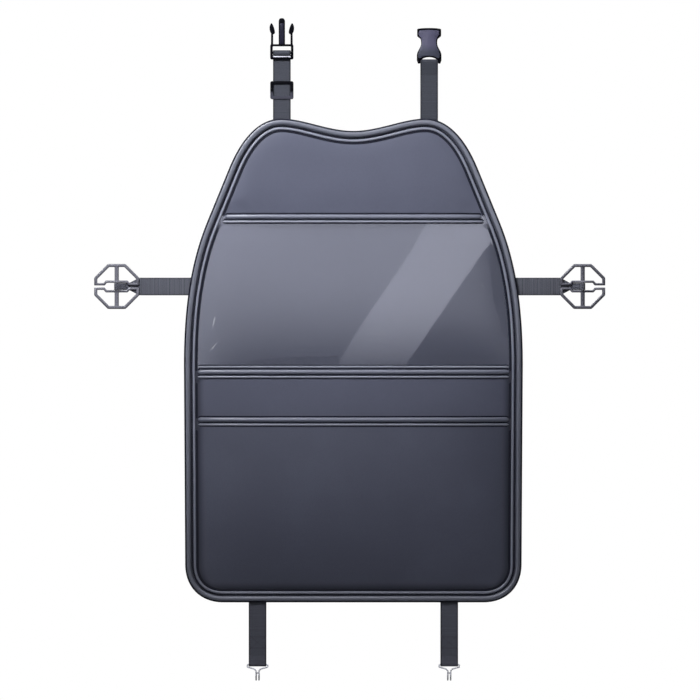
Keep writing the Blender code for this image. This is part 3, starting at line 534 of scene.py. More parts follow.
def pocket_sheet(name, low, mouth, rear, thick, look):
    """A closed sheet from its hem up into its mouth binding."""
    rows = list(np.arange(low, low + 0.05, 0.0025))
    rows += list(np.arange(rows[-1] + 0.005, mouth - 0.027, 0.0055))
    rows += [mouth - d * MM for d in (24, 19, 17, 15, 13.5, 12, 8, 4, 1, -0.6)]
    sides = []
    for side in (0.0, -thick):
        grid = []
        for z in rows:
            inset = MOUTH_IN if z > mouth - 0.02 else SHEET_IN
            grid.append([(x, rear(x, z) + side, z) for x in row_places(z, inset)])
        sides.append(np.array(grid))
    back, front = sides
    tall, wide = back.shape[:2]
    verts = np.concatenate([back.reshape(-1, 3), front.reshape(-1, 3)])
    half = tall * wide
    faces = []
    for r in range(tall - 1):
        for c in range(wide - 1):
            a = r * wide + c
            faces += [(a, a + 1, a + wide + 1, a + wide)]
            faces += [(half + a, half + a + wide, half + a + wide + 1, half + a + 1)]
    index = np.arange(half).reshape(tall, wide)
    rim = [int(i) for i in (*index[0], *index[1:, -1], *index[-1, -2::-1], *index[-2:0:-1, 0])]
    faces += [(a, b, half + b, half + a) for a, b in zip(rim, rim[1:] + rim[:1])]
    uv = verts[:, [0, 2]]
    piece = mesh_piece(name, verts, faces, look, uv)
    # Painted shade: a value that darkens the sheet's colour towards its sewn sides and its foot.
    near = [min(half_width(z, FLANGE_IN) - abs(x), z - FOOT_Z - FLANGE_IN) for x, z in uv]
    painted_seam_shade = 0.78 * (1 - smooth(np.array(near), -3 * MM, 11 * MM))
    piece.data.attributes.new("painted_seam_shade", "FLOAT", "POINT").data.foreach_set("value", painted_seam_shade)
    return face_out(piece)


# Painted glints: small whitened marks in the film's colour where its small wrinkles catch the light.
GLINTS = [
    ((-0.1977, 0.0557), 8.5 * MM, 1.4 * MM, 0.18, 1.8),
    ((-0.1985, 0.0198), 7.8 * MM, 1.4 * MM, 0.62, 1.8),
    ((0.1826, 0.1074), 4.8 * MM, 1.4 * MM, -0.37, 1.1),
    ((0.2060, 0.0167), 4.0 * MM, 1.3 * MM, -0.45, 0.9),
    ((0.0388, 0.0377), 15.6 * MM, 2.8 * MM, math.pi / 2, 0.32),
]


def painted_glints(tree, place):
    """Short whitened marks, painted glints where small wrinkles in the film catch the light: middle, half
    length and width, turn, strength.
    """
    wander = mottle(tree, place, 300.0, 3.0).node.outputs["Color"]
    bent = node(tree, "ShaderNodeVectorMath", [(0, wander), (2, place)], operation="MULTIPLY_ADD")
    bent.inputs[1].default_value = (4 * MM, 0.0, 4 * MM)
    total = 0.0
    for (x, z), tall, wide, turn, strength in GLINTS:
        away = node(tree, "ShaderNodeVectorMath", [(0, bent.outputs[0])], operation="SUBTRACT")
        away.inputs[1].default_value = (x + 2 * MM, 0.0, z + 2 * MM)
        left, cos, sin = 1.0, math.cos(turn), math.sin(turn)
        for across, along, size in ((cos, -sin, wide), (sin, cos, tall)):
            share = node(tree, "ShaderNodeVectorMath", [(0, away.outputs[0])], operation="DOT_PRODUCT")
            share.inputs[1].default_value = (across / size, 0.0, along / size)
            square = math_node(tree, "MULTIPLY", share.outputs["Value"], share.outputs["Value"])
            left = math_node(tree, "SUBTRACT", left, square)
        total = math_node(tree, "MULTIPLY_ADD", math_node(tree, "MAXIMUM", left, 0.0), strength, total)
    return total


def clear_film():
    """Clear film: faint haze, sharp gloss, rubbed patches, painted glints and hair scratches."""
    made, tree, shader = principled("clear_film", 0.05, 1.0, coat=1.0)
    shader.inputs["Coat Roughness"].default_value = 0.04
    shader.inputs["IOR"].default_value = 1.7
    shader.inputs["Alpha"].default_value = 0.27
    place = own_place(tree)
    haze = mottle(tree, place, 7.0, 4.0)
    tint = ramp(tree, haze, [(0.3, (0.23, 0.242, 0.32)), (0.7, (0.28, 0.294, 0.385))])
    glinted = mixed(tree, painted_glints(tree, place), tint, (0.92, 0.94, 1.0))
    tree.links.new(glinted, shader.inputs["Base Color"])
    stretch = node(tree, "ShaderNodeMapping", [("Vector", place)])
    stretch.inputs["Rotation"].default_value = (0.0, 0.6, 0.0)
    stretch.inputs["Scale"].default_value = (2200.0, 1.0, 40.0)
    hair = turned(tree, mottle(tree, stretch.outputs[0], 1.0, 1.0), 0.66, 0.8)
    rough = math_node(tree, "MULTIPLY_ADD", mottle(tree, place, 45.0, 6.0), 0.03, 0.02)
    tree.links.new(math_node(tree, "MULTIPLY_ADD", hair, 0.06, rough), shader.inputs["Roughness"])
    return made


film = pocket_sheet("window_film", WINDOW_HEM - 0.002, WINDOW_TOP, film_rear, FILM_THICK, clear_film())
hand_over(film, "panel", "tablet_window")

# Pockets
# Two sheets of synthetic leather, one over the other, sewn in at the sides and the foot.
# The middle one runs down behind the lower one.
pocket_look = leatherette("pocket_leatherette", (0.11, 0.117, 0.163), (0.13, 0.139, 0.193), 0.5, 0.25, 0.15)
sheet_low = FOOT_Z + SHEET_IN
middle = pocket_sheet("middle_pocket_sheet", sheet_low, MIDDLE_TOP, middle_rear, POCKET_THICK, face_look)
lower = pocket_sheet("lower_pocket_sheet", sheet_low, LOWER_TOP, lower_rear, POCKET_THICK, pocket_look)
for piece, old in ((middle, "middle_pocket"), (lower, "lower_pocket")):
    hand_over(piece, "panel", old)

# Mouth bindings
# Each mouth is bound with a rolled strip, sewn down below it in a thin ridge.
# The film's hem at the foot of the window has the ridge alone.
MOUTH_HALF, MOUTH_CROWN, MOUTH_LOW, RIDGE_HALF = 3.25 * MM, 2.6 * MM, 0.7 * MM, 1.65 * MM
# The mouth rolls use a lighter copy of the binding leatherette: painted highlight.
bead_look = leatherette("mouth_leatherette", (0.13, 0.139, 0.19), (0.165, 0.175, 0.235), 0.34, 1.0, 0.1)


def bead(name, z, rear, section, look):
    """A soft bead that follows a mouth and closes down at both ends."""
    edge = half_width(z + MOUTH_HALF, MOUTH_IN) - 3.6 * MM
    places = np.linspace(-edge, edge, 151)
    shape = np.array(section)
    middle_of = (shape.max(0) + shape.min(0)) / 2
    rings = []
    for x in places:
        close = min(1.0, 0.35 + (edge - abs(x)) / (2.2 * MM))
        pull = 1 + 0.015 * math.sin(x / 0.0078 * 2 * math.pi) + 0.015 * waves(x, z, 0.03, 4.0)
        around = middle_of + (shape - middle_of) * (close, close * pull)
        rings.append([(x, rear(x, z) + y, z + up) for up, y in around])
    return lattice(name, np.array(rings), look, closed=False)


def roll_section(thick):
    """The rolled strip: crown in front, lip behind, slot for the sheet from below."""
    front = -thick - GAP
    lip = [(-2.9 * MM, 1.5 * MM), (1.6 * MM, 1.5 * MM), (MOUTH_HALF - MOUTH_LOW, 0.4 * MM)]
    crown = [
        (MOUTH_HALF * math.cos(a) - MOUTH_LOW, front - MOUTH_CROWN * math.sin(a) ** 0.7)
        for a in np.linspace(0.0, math.pi, 13)
    ]
    return lip + crown + [(0.9 * MM, front), (0.9 * MM, GAP), (-2.9 * MM, GAP)]


def oblong(a, b, c, d):
    """The corners of an upright oblong, from its left foot round."""
    return [(a, c), (b, c), (b, d), (a, d)]


def margin_section(thick, low, high):
    """The flat dark strip under the ridge: painted shade in the groove."""
    return oblong(low, high, -thick - 0.02 * MM, -thick - 0.28 * MM)


def ridge_section(thick):
    """The thin sewn ridge in front of a sheet."""
    front = -thick - GAP
    return [
        (RIDGE_HALF * math.cos(a), front - RIDGE_HALF * math.sin(a) ** 0.65)
        for a in np.linspace(0.0, math.pi, 9)
    ]


MOUTHS = [
    ("window", WINDOW_TOP, film_rear, FILM_THICK),
    ("middle_pocket", MIDDLE_TOP, middle_rear, POCKET_THICK),
    ("lower_pocket", LOWER_TOP, lower_rear, POCKET_THICK),
]
trims = []
for name, z, rear_of, thick in MOUTHS:
    old = "window_top" if name == "window" else name
    drop = z - MOUTH_DROP
    trims.append((bead(name + "_roll", z, rear_of, roll_section(thick), bead_look), old + "_binding"))
    trims.append((bead(name + "_ridge", drop, rear_of, ridge_section(thick), ridge_look), old + "_piping"))
    # A flat strip under each ridge, near-black as painted shade in the groove.
    strip = margin_section(thick, -3.2 * MM, 4.3 * MM)
    trims.append((bead(name + "_groove_shade", drop, rear_of, strip, dark_and_shade_look), None))
    # A near-black strip standing just above each mouth: painted shadow in the mouth's opening.
    mouth_shadow = oblong(1.0 * MM, 4.7 * MM, 0.35 * MM, 0.8 * MM)
    trims.append((bead(name + "_mouth_shadow", z, rear_of, mouth_shadow, dark_and_shade_look), None))
hem_ridge = bead("window_hem_ridge", WINDOW_HEM, film_rear, ridge_section(FILM_THICK), ridge_look)
# The hem's flat strip is near-black too: painted shade beside its ridge.
hem_strip = margin_section(FILM_THICK, -2.0 * MM, 3.4 * MM)
trims.append((hem_ridge, "window_bottom_piping"))
trims.append((bead("window_hem_groove_shade", WINDOW_HEM, film_rear, hem_strip, dark_and_shade_look), None))
for piece, old in trims:
    hand_over(piece, "panel", old)

# Straps
# Each strap is polypropylene webbing 25 mm wide, folded over a bar and sewn into the panel.
# The weave shows fine ribs across and a firm edge on both sides.
WEB_HALF, WEB_THICK = 12.5 * MM, 1.4 * MM
REAR_WEB_Y, FRONT_WEB_Y = -2.0 * MM, -3.7 * MM
LOOP_RADIUS, LOOP_Y = 3.0 * MM, -5.0 * MM
HOOK_LOOP, HOOK_Y, PLATE_Y = 2.0 * MM, -4.0 * MM, -6.2 * MM
MALE_Z, FEMALE_Z, HOOK_Z = 0.4368, 0.4239, -0.4313
PLATES = (-0.3357, 0.3253)


def webbing_look(name, dark, light, bars, shine):
    """Woven ribs across the strap, lengthwise yarns, uneven bars and a tone that turns darker towards both
    edges.
    """
    made, tree, shader = principled(name, 0.65, shine, sheen=0.3)
    uv = node(tree, "ShaderNodeUVMap", uv_map="UVMap").outputs[0]
    split = node(tree, "ShaderNodeSeparateXYZ", [("Vector", uv)])
    across, along = split.outputs[0], split.outputs[1]
    warp = math_node(tree, "SINE", math_node(tree, "MULTIPLY", across, 2 * math.pi / 0.0011))
    lean = math_node(tree, "MULTIPLY", math_node(tree, "SIGN", warp), 0.0004)
    ribs = math_node(tree, "MULTIPLY", math_node(tree, "ADD", along, lean), 2 * math.pi / 0.0016)
    rib = math_node(tree, "MULTIPLY_ADD", math_node(tree, "SINE", ribs), 0.5, 0.5)
    rib = math_node(tree, "POWER", rib, 0.7)
    yarn = math_node(tree, "POWER", math_node(tree, "ABSOLUTE", warp), 0.4)
    weave = math_node(tree, "MULTIPLY", rib, yarn)
    tone = math_node(tree, "MULTIPLY_ADD", mottle(tree, uv, 900.0, 3.0), 0.3, weave)
    bar = node(tree, "ShaderNodeTexNoise", [("W", along)], noise_dimensions="1D", in_2=430.0, in_3=1.0)
    uneven = math_node(tree, "MULTIPLY_ADD", bar.outputs["Fac"], bars, -bars / 2)
    aside = math_node(tree, "ABSOLUTE", across)
    edge = turned(tree, aside, WEB_HALF - 2.4 * MM, WEB_HALF - 1.2 * MM, 0.0, -0.75)
    tone = math_node(tree, "ADD", math_node(tree, "ADD", tone, uneven), edge)
    stops = [(0.0, tuple(0.35 * v for v in dark)), (0.3, dark), (1.0, light)]
    tree.links.new(ramp(tree, tone, stops), shader.inputs["Base Color"])
    bumped(tree, shader, weave, 0.5, 0.0003)
    return made


# One webbing in three copies: the foot straps' copy is much lighter and the side straps' copy lighter than
# the top straps', painted light that makes up for the weaker light lower on the panel.
web_look = webbing_look("webbing", (0.044, 0.047, 0.061), (0.088, 0.094, 0.118), 0.3, 0.2)
foot_look = webbing_look("foot_webbing", (0.105, 0.11, 0.14), (0.2, 0.208, 0.255), 0.3, 0.3)
side_look = webbing_look("side_webbing", (0.062, 0.065, 0.085), (0.132, 0.138, 0.175), 1.3, 0.6)


def tangent(point, centre, radius, side):
    """Where a line from a point touches a circle, on one side."""
    to = Vector(centre) - Vector(point)
    way = to.normalized()
    way.rotate(Matrix.Rotation(side * math.asin(radius / to.length), 2))
    return Vector(point) + way * math.sqrt(to.length**2 - radius**2)


def arc(centre, radius, angles):
    """Points on a circle."""
    return [(centre[0] + radius * math.cos(t), centre[1] + radius * math.sin(t)) for t in angles]


def loop_path(start, rear_bends, front_bends, centre, radius):
    """Webbing from its rear end, round a bar, back to its front end."""
    first = tangent((rear_bends[-1], REAR_WEB_Y), centre, radius, 1)
    last = tangent((front_bends[-1], FRONT_WEB_Y), centre, radius, -1)
    a = math.atan2(first.y - centre[1], first.x - centre[0])
    b = math.atan2(last.y - centre[1], last.x - centre[0])
    line = [(start, REAR_WEB_Y)]
    if abs(first.y - REAR_WEB_Y) > 0.00001:
        line += [(s, REAR_WEB_Y) for s in rear_bends]
    line += arc(centre, radius, np.linspace(a, b, 25))
    return line + [(s, FRONT_WEB_Y) for s in reversed(front_bends)] + [(start, FRONT_WEB_Y)]


def fine_path(line, step=0.002):
    """Points spaced along a path, with its bends eased."""
    line = np.array(line)
    run = np.concatenate([[0], np.cumsum(np.linalg.norm(np.diff(line, axis=0), axis=1))])
    at = np.unique(np.concatenate([np.arange(0, run[-1], step), run]))
    fine = np.column_stack([np.interp(at, run, line[:, k]) for k in (0, 1)])
    soft = fine.copy()
    for _ in range(2):
        soft[1:-1] = 0.25 * soft[:-2] + 0.5 * soft[1:-1] + 0.25 * soft[2:]
        move = soft - fine
        size = np.linalg.norm(move, axis=1)[:, None]
        soft = fine + move * np.minimum(1.0, 0.12 * MM / np.maximum(size, 1e-9))
    return soft, np.concatenate([[0], np.cumsum(np.linalg.norm(np.diff(soft, axis=0), axis=1))])


WEB_SECTION = [(-1, 0.3), (-0.985, 0.42), (-0.94, 0.5), (-0.5, 0.5), (0, 0.5)]
WEB_SECTION += [(-a, b) for a, b in reversed(WEB_SECTION[:-1])]
WEB_SECTION += [(a, -b) for a, b in reversed(WEB_SECTION)]


def strap(name, line, width, place, look):
    """Webbing as a flat band with firm edges."""
    path, run = fine_path(line)
    way = np.gradient(path, axis=0)
    way /= np.linalg.norm(way, axis=1)[:, None]
    out = np.column_stack([-way[:, 1], way[:, 0]])
    grid, uv = [], []
    for p, n, s in zip(path, out, run):
        half = width(p[0])
        for a, b in WEB_SECTION:
            q = p + n * b * WEB_THICK
            grid.append(place(q[0], q[1], a * half))
            uv.append((a * WEB_HALF, s))
    grid = np.array(grid).reshape(len(path), len(WEB_SECTION), 3)
    piece = lattice(name + "_webbing", grid, look, closed=False, uv=uv, sharp=60)
    hand_over(piece, "panel", name)


def full(s):
    """The width of webbing that isn't folded narrower."""
    return WEB_HALF


STRAP_TUCK, NARROW_HALF = 22.0 * MM, 4.9 * MM
TUCK_Z, TUCK_X, TUCK_LOW = HUMP[1] - STRAP_TUCK, half_width(SIDE_Z, 0.0) - STRAP_TUCK, -FOOT_Z - STRAP_TUCK
TOP_LOOPS = (("left_top_strap", MALE_Z, 12.0, 8.3), ("right_top_strap", FEMALE_Z, 19.0, 19.0))
for x, (name, bar, rear_bend, front_bend) in zip(TOP_STRAPS, TOP_LOOPS):
    line = loop_path(TUCK_Z, [bar - rear_bend * MM], [bar - front_bend * MM], (bar, LOOP_Y), LOOP_RADIUS)
    strap(name, line, full, lambda s, y, a, x=x: (x + a, y, s), web_look)
for x, name in ((-BOTTOM_X, "left_bottom_strap"), (BOTTOM_X, "right_bottom_strap")):
    line = loop_path(TUCK_LOW, [-HOOK_Z - 0.013], [-HOOK_Z - 0.013], (-HOOK_Z, HOOK_Y), HOOK_LOOP)
    strap(name, line, full, lambda s, y, a, x=x: (x + a, y, -s), foot_look)
for centre, name in zip(PLATES, ("left_side_strap", "right_side_strap")):
    side, far = math.copysign(1, centre), abs(centre)
    bends = [far - 32.0 * MM, far - 17.2 * MM]
    line = loop_path(TUCK_X, bends, bends + [far - 14.5 * MM], (far, PLATE_Y), LOOP_RADIUS)
    strap(
        name, line, lambda s, bends=bends: float(np.interp(s, bends, [WEB_HALF, NARROW_HALF])),
        lambda s, y, a, side=side: (side * s, y, SIDE_Z + a), side_look,
    )

# Buckle half with prongs
# Glossy black plastic, moulded in one piece: a frame with a bar for the webbing,
# a centre guide and two springy arms with leaf-shaped barbs.


def plastic(name, dark, light, roughness, specular, heights=None):
    """Moulded plastic: fine texture and flow marks; heights turn its tone from dark up to light, a painted
    gradient of light and shade by height.
    """
    made, tree, shader = principled(name, roughness, specular)
    place = own_place(tree)
    tone = flow = mottle(tree, place, 60.0, 3.0)
    if heights:
        split = node(tree, "ShaderNodeSeparateXYZ", [(0, place)])
        tall = turned(tree, split.outputs["Z"], *heights, 0.0, 0.7)
        tone = math_node(tree, "MULTIPLY_ADD", flow, 0.3, tall)
    tree.links.new(ramp(tree, tone, [(0.3, dark), (0.7, light)]), shader.inputs["Base Color"])
    rough = math_node(tree, "MULTIPLY_ADD", flow, 0.12, roughness - 0.06)
    tree.links.new(rough, shader.inputs["Roughness"])
    bumped(tree, shader, mottle(tree, place, 3500.0, 3.0), 0.12, 0.0002)
    return made


black_look = plastic("black_plastic", (0.002, 0.002, 0.004), (0.005, 0.005, 0.008), 0.24, 0.02)
# The socket face's tone rises with height: painted light, lighter at its top and darker at its lower part.
violet_look = plastic("dusk_plastic", (0.055, 0.059, 0.085), (0.105, 0.1, 0.165), 0.36, 0.2, (0.434, 0.452))
plate_look = plastic("grey_plastic", (0.034, 0.032, 0.047), (0.05, 0.047, 0.068), 0.3, 1.0)
plate_look.node_tree.nodes["Principled BSDF"].inputs["IOR"].default_value = 1.62


def prism(points, low, high, axis="Y"):
    """A helper solid from a flat shape."""
    at = "XYZ".index(axis)
    count = len(points)
    verts = [(*point[:at], level, *point[at:]) for level in (low, high) for point in points]
    faces = [tuple(range(count)), tuple(range(2 * count - 1, count - 1, -1))]
    faces += [(i, (i + 1) % count, count + (i + 1) % count, count + i) for i in range(count)]
    return face_out(mesh_piece("helper", verts, faces, black_look))


def slab(points, middle, half):
    """A flat shape made thick to both sides of a place in depth."""
    return prism(points, middle - half, middle + half)


def block(x, y, z):
    """A helper block between two places on each axis."""
    return prism(oblong(*x, *z), *y)


def keep(piece, kind, inputs=(), **settings):
    """Adds a modifier and keeps its result as the mesh."""
    change = piece.modifiers.new(kind.title(), kind)
    for key, value in settings.items():
        setattr(change, key, value)
    for key, value in inputs:
        change[key] = value
    graph = bpy.context.evaluated_depsgraph_get()
    done = bpy.data.meshes.new_from_object(piece.evaluated_get(graph))
    piece.modifiers.clear()
    old, piece.data = piece.data, done
    bpy.data.meshes.remove(old)
    return piece


def combine(piece, helpers, operation):
    """Exact booleans with helper solids."""
    for helper in helpers:
        keep(piece, "BOOLEAN", object=helper, operation=operation, solver="EXACT")
        bpy.data.objects.remove(helper, do_unlink=True)
    return piece


def ease(piece, width, segments=3, degrees=35):
    """Rounds the moulded edges."""
    return keep(
        piece, "BEVEL", width=width, segments=segments, limit_method="ANGLE",
        angle_limit=math.radians(degrees), use_clamp_overlap=True, harden_normals=False,
    )


def moulded(piece, name, look, body, old):
    """Names a moulded piece, smooths its shading and hands it to its body."""
    piece.name = piece.data.name = name
    piece.data.materials.clear()
    piece.data.materials.append(look)
    piece.data.polygons.foreach_set("use_smooth", [True] * len(piece.data.polygons))
    piece.data.set_sharp_from_angle(angle=math.radians(38))
    hand_over(piece, body, old)


def about(points, x, z, side=1, up=1):
    """A shape in millimetres, set about a middle and mirrored by the signs."""
    return [(x + side * a * MM, z + up * b * MM) for a, b in points]


def both(points, x, z):
    """A closed shape from its right half."""
    return about(list(points) + [(-a, b) for a, b in reversed(points) if abs(a) > 1e-9], x, z)


def softened(here, before, after, reach, share, steps):
    """The short curve that replaces one corner."""
    r = min(reach, (here - before).length * share, (after - here).length * share)
    if r <= 0:
        return [here]
    a, b = (here + (end - here).normalized() * r for end in (before, after))
    shares = [k / steps for k in range(steps + 1)]
    return [here + (a - here) * (1 - t) ** 2 + (b - here) * t * t for t in shares]


def rounded(points, reach, steps=4):
    """A shape with its corners turned into short curves."""
    made, count = [], len(points)
    for i in range(count):
        corner = (Vector(points[k % count]) for k in (i, i - 1, i + 1))
        made += softened(*corner, reach, 0.45, steps)
    return [tuple(point) for point in made]


def rod(centre, radius, low, high, axis):
    """A round bar."""
    return prism(arc(centre, radius, np.linspace(0, 2 * math.pi, 24, endpoint=False)), low, high, axis)


MALE_X, RAIL = TOP_STRAPS[0], 12.9 * MM
frame_shape = rounded(both([(16.5, -9.5), (16.5, 12.0)], MALE_X, MALE_Z), 2.6 * MM)
male = prism(frame_shape, LOOP_Y - 3.1 * MM, LOOP_Y + 1.8 * MM)
inside = (MALE_X - RAIL, MALE_X + RAIL)
window = rounded(oblong(*inside, MALE_Z - 6.5 * MM, MALE_Z + 9.2 * MM), 1.2 * MM)
passage = block(inside, (LOOP_Y - 1.1 * MM, 0.0), (MALE_Z - 0.02, MALE_Z - 5.4 * MM))
combine(male, [slab(window, 0.0, 0.02), passage], "DIFFERENCE")
ease(male, 0.6 * MM)
guide = [(0, 9.1), (4.5, 9.1), (4.5, 44.6), (4.2, 46.4), (3.4, 47.9), (2.2, 48.8), (0, 49.1)]
arm = [(12.3, 9.1), (15.5, 9.1), (15.4, 20.0), (15.3, 27.3), (15.9, 28.6), (16.8, 30.4), (17.3, 32.8),
       (17.5, 35.6), (17.0, 38.4), (16.1, 40.5), (15.2, 41.8), (14.5, 41.9), (13.6, 41.1), (12.4, 39.0),
       (11.2, 36.0), (10.2, 32.4), (9.7, 29.6), (9.9, 28.0), (10.7, 26.9), (11.6, 26.2), (12.3, 26.4)]
adds = [ease(slab(both(guide, MALE_X, MALE_Z), LOOP_Y, 2.0 * MM), 0.9 * MM)]
for side in (-1, 1):
    adds.append(ease(slab(about(arm, MALE_X, MALE_Z, side), LOOP_Y, 1.8 * MM), 0.6 * MM, 2))
adds.append(rod((LOOP_Y, MALE_Z), 2.0 * MM, MALE_X - RAIL - MM, MALE_X + RAIL + MM, "X"))
front_bar = [(-2.4, -3.6), (-3.3, -3.5), (-3.9, -3.9), (-4.0, -5.0), (-4.0, -7.0), (-3.9, -8.8), (-3.3, -9.4),
             (-2.4, -9.4)]
adds.append(prism(about(front_bar, LOOP_Y, MALE_Z), MALE_X - RAIL - MM, MALE_X + RAIL + MM, "X"))
combine(male, adds, "UNION")
groove = both([(0, 13.0), (1.6, 13.0), (1.6, 43.5), (0, 44.5)], MALE_X, MALE_Z)
combine(male, [prism(rounded(groove, 0.6 * MM), LOOP_Y - 2.5 * MM, LOOP_Y - 1.5 * MM)], "DIFFERENCE")
moulded(male, "prong_half", black_look, "male_half", "male_buckle")
insert_look = plastic("night_plastic", (0.01, 0.01, 0.022), (0.018, 0.017, 0.036), 0.3, 0.1)
inlay_shape = rounded(both([(0, 12.0), (2.9, 12.0), (2.9, 41.0), (0, 42.0)], MALE_X, MALE_Z), MM)
inlay = prism(inlay_shape, LOOP_Y - 2.2 * MM, LOOP_Y - 1.4 * MM)
moulded(ease(inlay, 0.25 * MM, 2), "guide_inlay", insert_look, "male_half", None)
# A pale rod along the front of the bottom bar: a painted highlight for the bright line across it.
highlight_look = plastic("painted_highlight_plastic", (0.72, 0.72, 0.8), (0.8, 0.8, 0.88), 0.3, 0.5)
highlight_bar = rod((LOOP_Y - 4.2 * MM, MALE_Z - 5.9 * MM), 1.0 * MM, MALE_X - 12.2 * MM, MALE_X + 12.2 * MM, "X")
moulded(ease(highlight_bar, 0.3 * MM, 2), "bar_highlight", highlight_look, "male_half", None)

# Buckle half with socket
# The matching half, hollow from the top, with a finger opening on each side
# and two ears that carry the bar for the webbing.
FEMALE_X = TOP_STRAPS[1]
body_shape = [(0, 47.9), (6.0, 47.8), (11.0, 47.5), (15.8, 46.8), (16.7, 46.3), (17.0, 45.4),
              (17.0, 37.6), (16.6, 36.3), (15.6, 35.2), (14.2, 34.2), (12.9, 33.3), (12.0, 32.0),
              (11.6, 30.4), (11.35, 27.0), (11.5, 24.6), (12.1, 22.4), (13.1, 20.1), (14.6, 17.3),
              (16.1, 14.5), (17.1, 12.0), (17.45, 9.6), (17.45, 2.4), (17.2, 1.0), (16.4, 0.0),
              (16.2, -2.4), (12.9, -2.4), (12.9, 2.4), (10.6, 3.4), (8.0, 5.2), (4.0, 6.5),
              (0, 6.9)]
female = prism(both(body_shape, FEMALE_X, FEMALE_Z), LOOP_Y - 4.3 * MM, LOOP_Y + 4.2 * MM)
ease(female, 1.3 * MM, 4, 60)
pad = [(0, 45.0), (11.0, 44.5), (14.2, 43.7), (14.7, 38.8), (13.2, 36.0), (10.6, 33.4), (9.9, 27.0),
       (11.0, 21.5), (14.0, 15.5), (15.2, 11.0), (14.9, 5.4), (12.6, 4.6), (8.0, 7.4), (0, 8.6)]
pad_shape = rounded(both(pad, FEMALE_X - 0.5 * MM, FEMALE_Z), 1.5 * MM)
raised = prism(pad_shape, LOOP_Y - 4.8 * MM, LOOP_Y - 3.9 * MM)
moulded(ease(raised, 0.45 * MM, 2), "socket_face", violet_look, "female_half", None)
socket = block(
    (FEMALE_X - 14.4 * MM, FEMALE_X + 14.4 * MM), (LOOP_Y - 2.6 * MM, LOOP_Y + 2.6 * MM),
    (FEMALE_Z + 19.6 * MM, FEMALE_Z + 60 * MM),
)
combine(female, [socket], "DIFFERENCE")
bar = rod((LOOP_Y, FEMALE_Z), 2.0 * MM, FEMALE_X - 14.9 * MM, FEMALE_X + 14.9 * MM, "X")
combine(female, [bar], "UNION")
moulded(female, "socket_half", black_look, "female_half", "female_buckle")

# Strap slider
# A black keeper whose two end bars cross in front of the doubled strap
# and whose middle bar crosses behind it.
SLIDER_Z, SLIDER_HALF, SLIDER_TALL = 0.3838, 16.5 * MM, 12.75 * MM
front_y, rear_y = -4.7 * MM, -1.0 * MM


def keeper_oblong(half, tall, corner):
    """A rounded oblong about the keeper's middle."""
    return rounded(oblong(MALE_X - half, MALE_X + half, SLIDER_Z - tall, SLIDER_Z + tall), corner)


slider = prism(keeper_oblong(SLIDER_HALF, SLIDER_TALL, 3.0 * MM), front_y - 1.6 * MM, rear_y + 1.6 * MM)
middle_window = keeper_oblong(12.1 * MM, 8.45 * MM, 1.4 * MM)
combine(
    slider,
    [
        block(inside, (front_y, rear_y), (SLIDER_Z - 0.02, SLIDER_Z + 0.02)),
        prism(middle_window, front_y - 0.005, front_y + 0.0005),
        block(inside, (rear_y - 0.0003, 0.01), (SLIDER_Z - 0.02, SLIDER_Z - 2.15 * MM)),
        block(inside, (rear_y - 0.0003, 0.01), (SLIDER_Z + 2.15 * MM, SLIDER_Z + 0.02)),
    ],
    "DIFFERENCE",
)
ease(slider, 0.55 * MM, 3)
# The keeper turns from grey at its lower bar to black above it: painted light on the lower bar.
keeper_look = plastic(
    "keeper_plastic", (0.075, 0.075, 0.098), (0.003, 0.003, 0.005), 0.3, 0.03, (0.3775, 0.3835)
)
moulded(slider, "strap_keeper", keeper_look, "slider", "strap_slider")

# Anchor plates
# Eight-sided rings of grey plastic with an upright bar and a keyhole slot.
# They are pushed through the gap of the seat and lie flat behind it.


def anchor_plate(name, x, body, old):
    """One plate: the cut corners, four openings, the keyhole slot and its bar."""
    a, b = 31.95, 12.55
    corners = [(b, a), (a, b), (a, -b), (b, -a), (-b, -a), (-a, -b), (-a, b), (-b, a)]
    shape = rounded(about(corners, x, SIDE_Z), 1.6 * MM, 3)
    plate = slab(shape, PLATE_Y, 1.5 * MM)
    hole = [(3.0, 8.5), (15.4, 8.5), (18.6, 4.85), (27.55, 4.85), (27.55, 10.73), (10.73, 27.55)]
    hole += [(3.0, 27.55)]
    cuts = []
    for side, up in ((-1, -1), (-1, 1), (1, -1), (1, 1)):
        cuts.append(prism(rounded(about(hole, x, SIDE_Z, side, up), 0.9 * MM, 3), -0.02, 0.01))
    slot = [(60, 1.45), (16.9, 1.45), (14.2, 5.1), (-14.2, 5.1), (-16.9, 1.45), (-60, 1.45)]
    slot += [(p, -q) for p, q in reversed(slot)]
    cuts.append(prism(about(slot, x, SIDE_Z), -0.02, 0.01))
    combine(plate, cuts, "DIFFERENCE")
    ease(plate, 0.75 * MM, 3)
    combine(plate, [rod((x, PLATE_Y), 2.0 * MM, SIDE_Z - 6.2 * MM, SIDE_Z + 6.2 * MM, "Z")], "UNION")
    moulded(plate, name, plate_look, body, old)


anchor_plate("left_plate_ring", PLATES[0], "left_plate", "left_anchor_plate")
anchor_plate("right_plate_ring", PLATES[1], "right_plate", "right_anchor_plate")

# Wire hooks
# Bright steel wire of 2 mm, bent from one length: a bar through the strap's fold,
# a neck, two runs side by side and an end that turns back and up.
HOOK_HANG = math.radians(14.5)
steel_look, steel_tree, steel_shader, drawn = mottled(
    "steel_wire", {"roughness": 0.3, "metallic": 0.35}, 900.0, 4.0,
    [(0.3, (0.74, 0.74, 0.76)), (0.7, (0.9, 0.9, 0.92))], (0.1, 0.0001),
)
wear = math_node(steel_tree, "MULTIPLY_ADD", drawn, 0.2, 0.16)
steel_tree.links.new(wear, steel_shader.inputs["Roughness"])


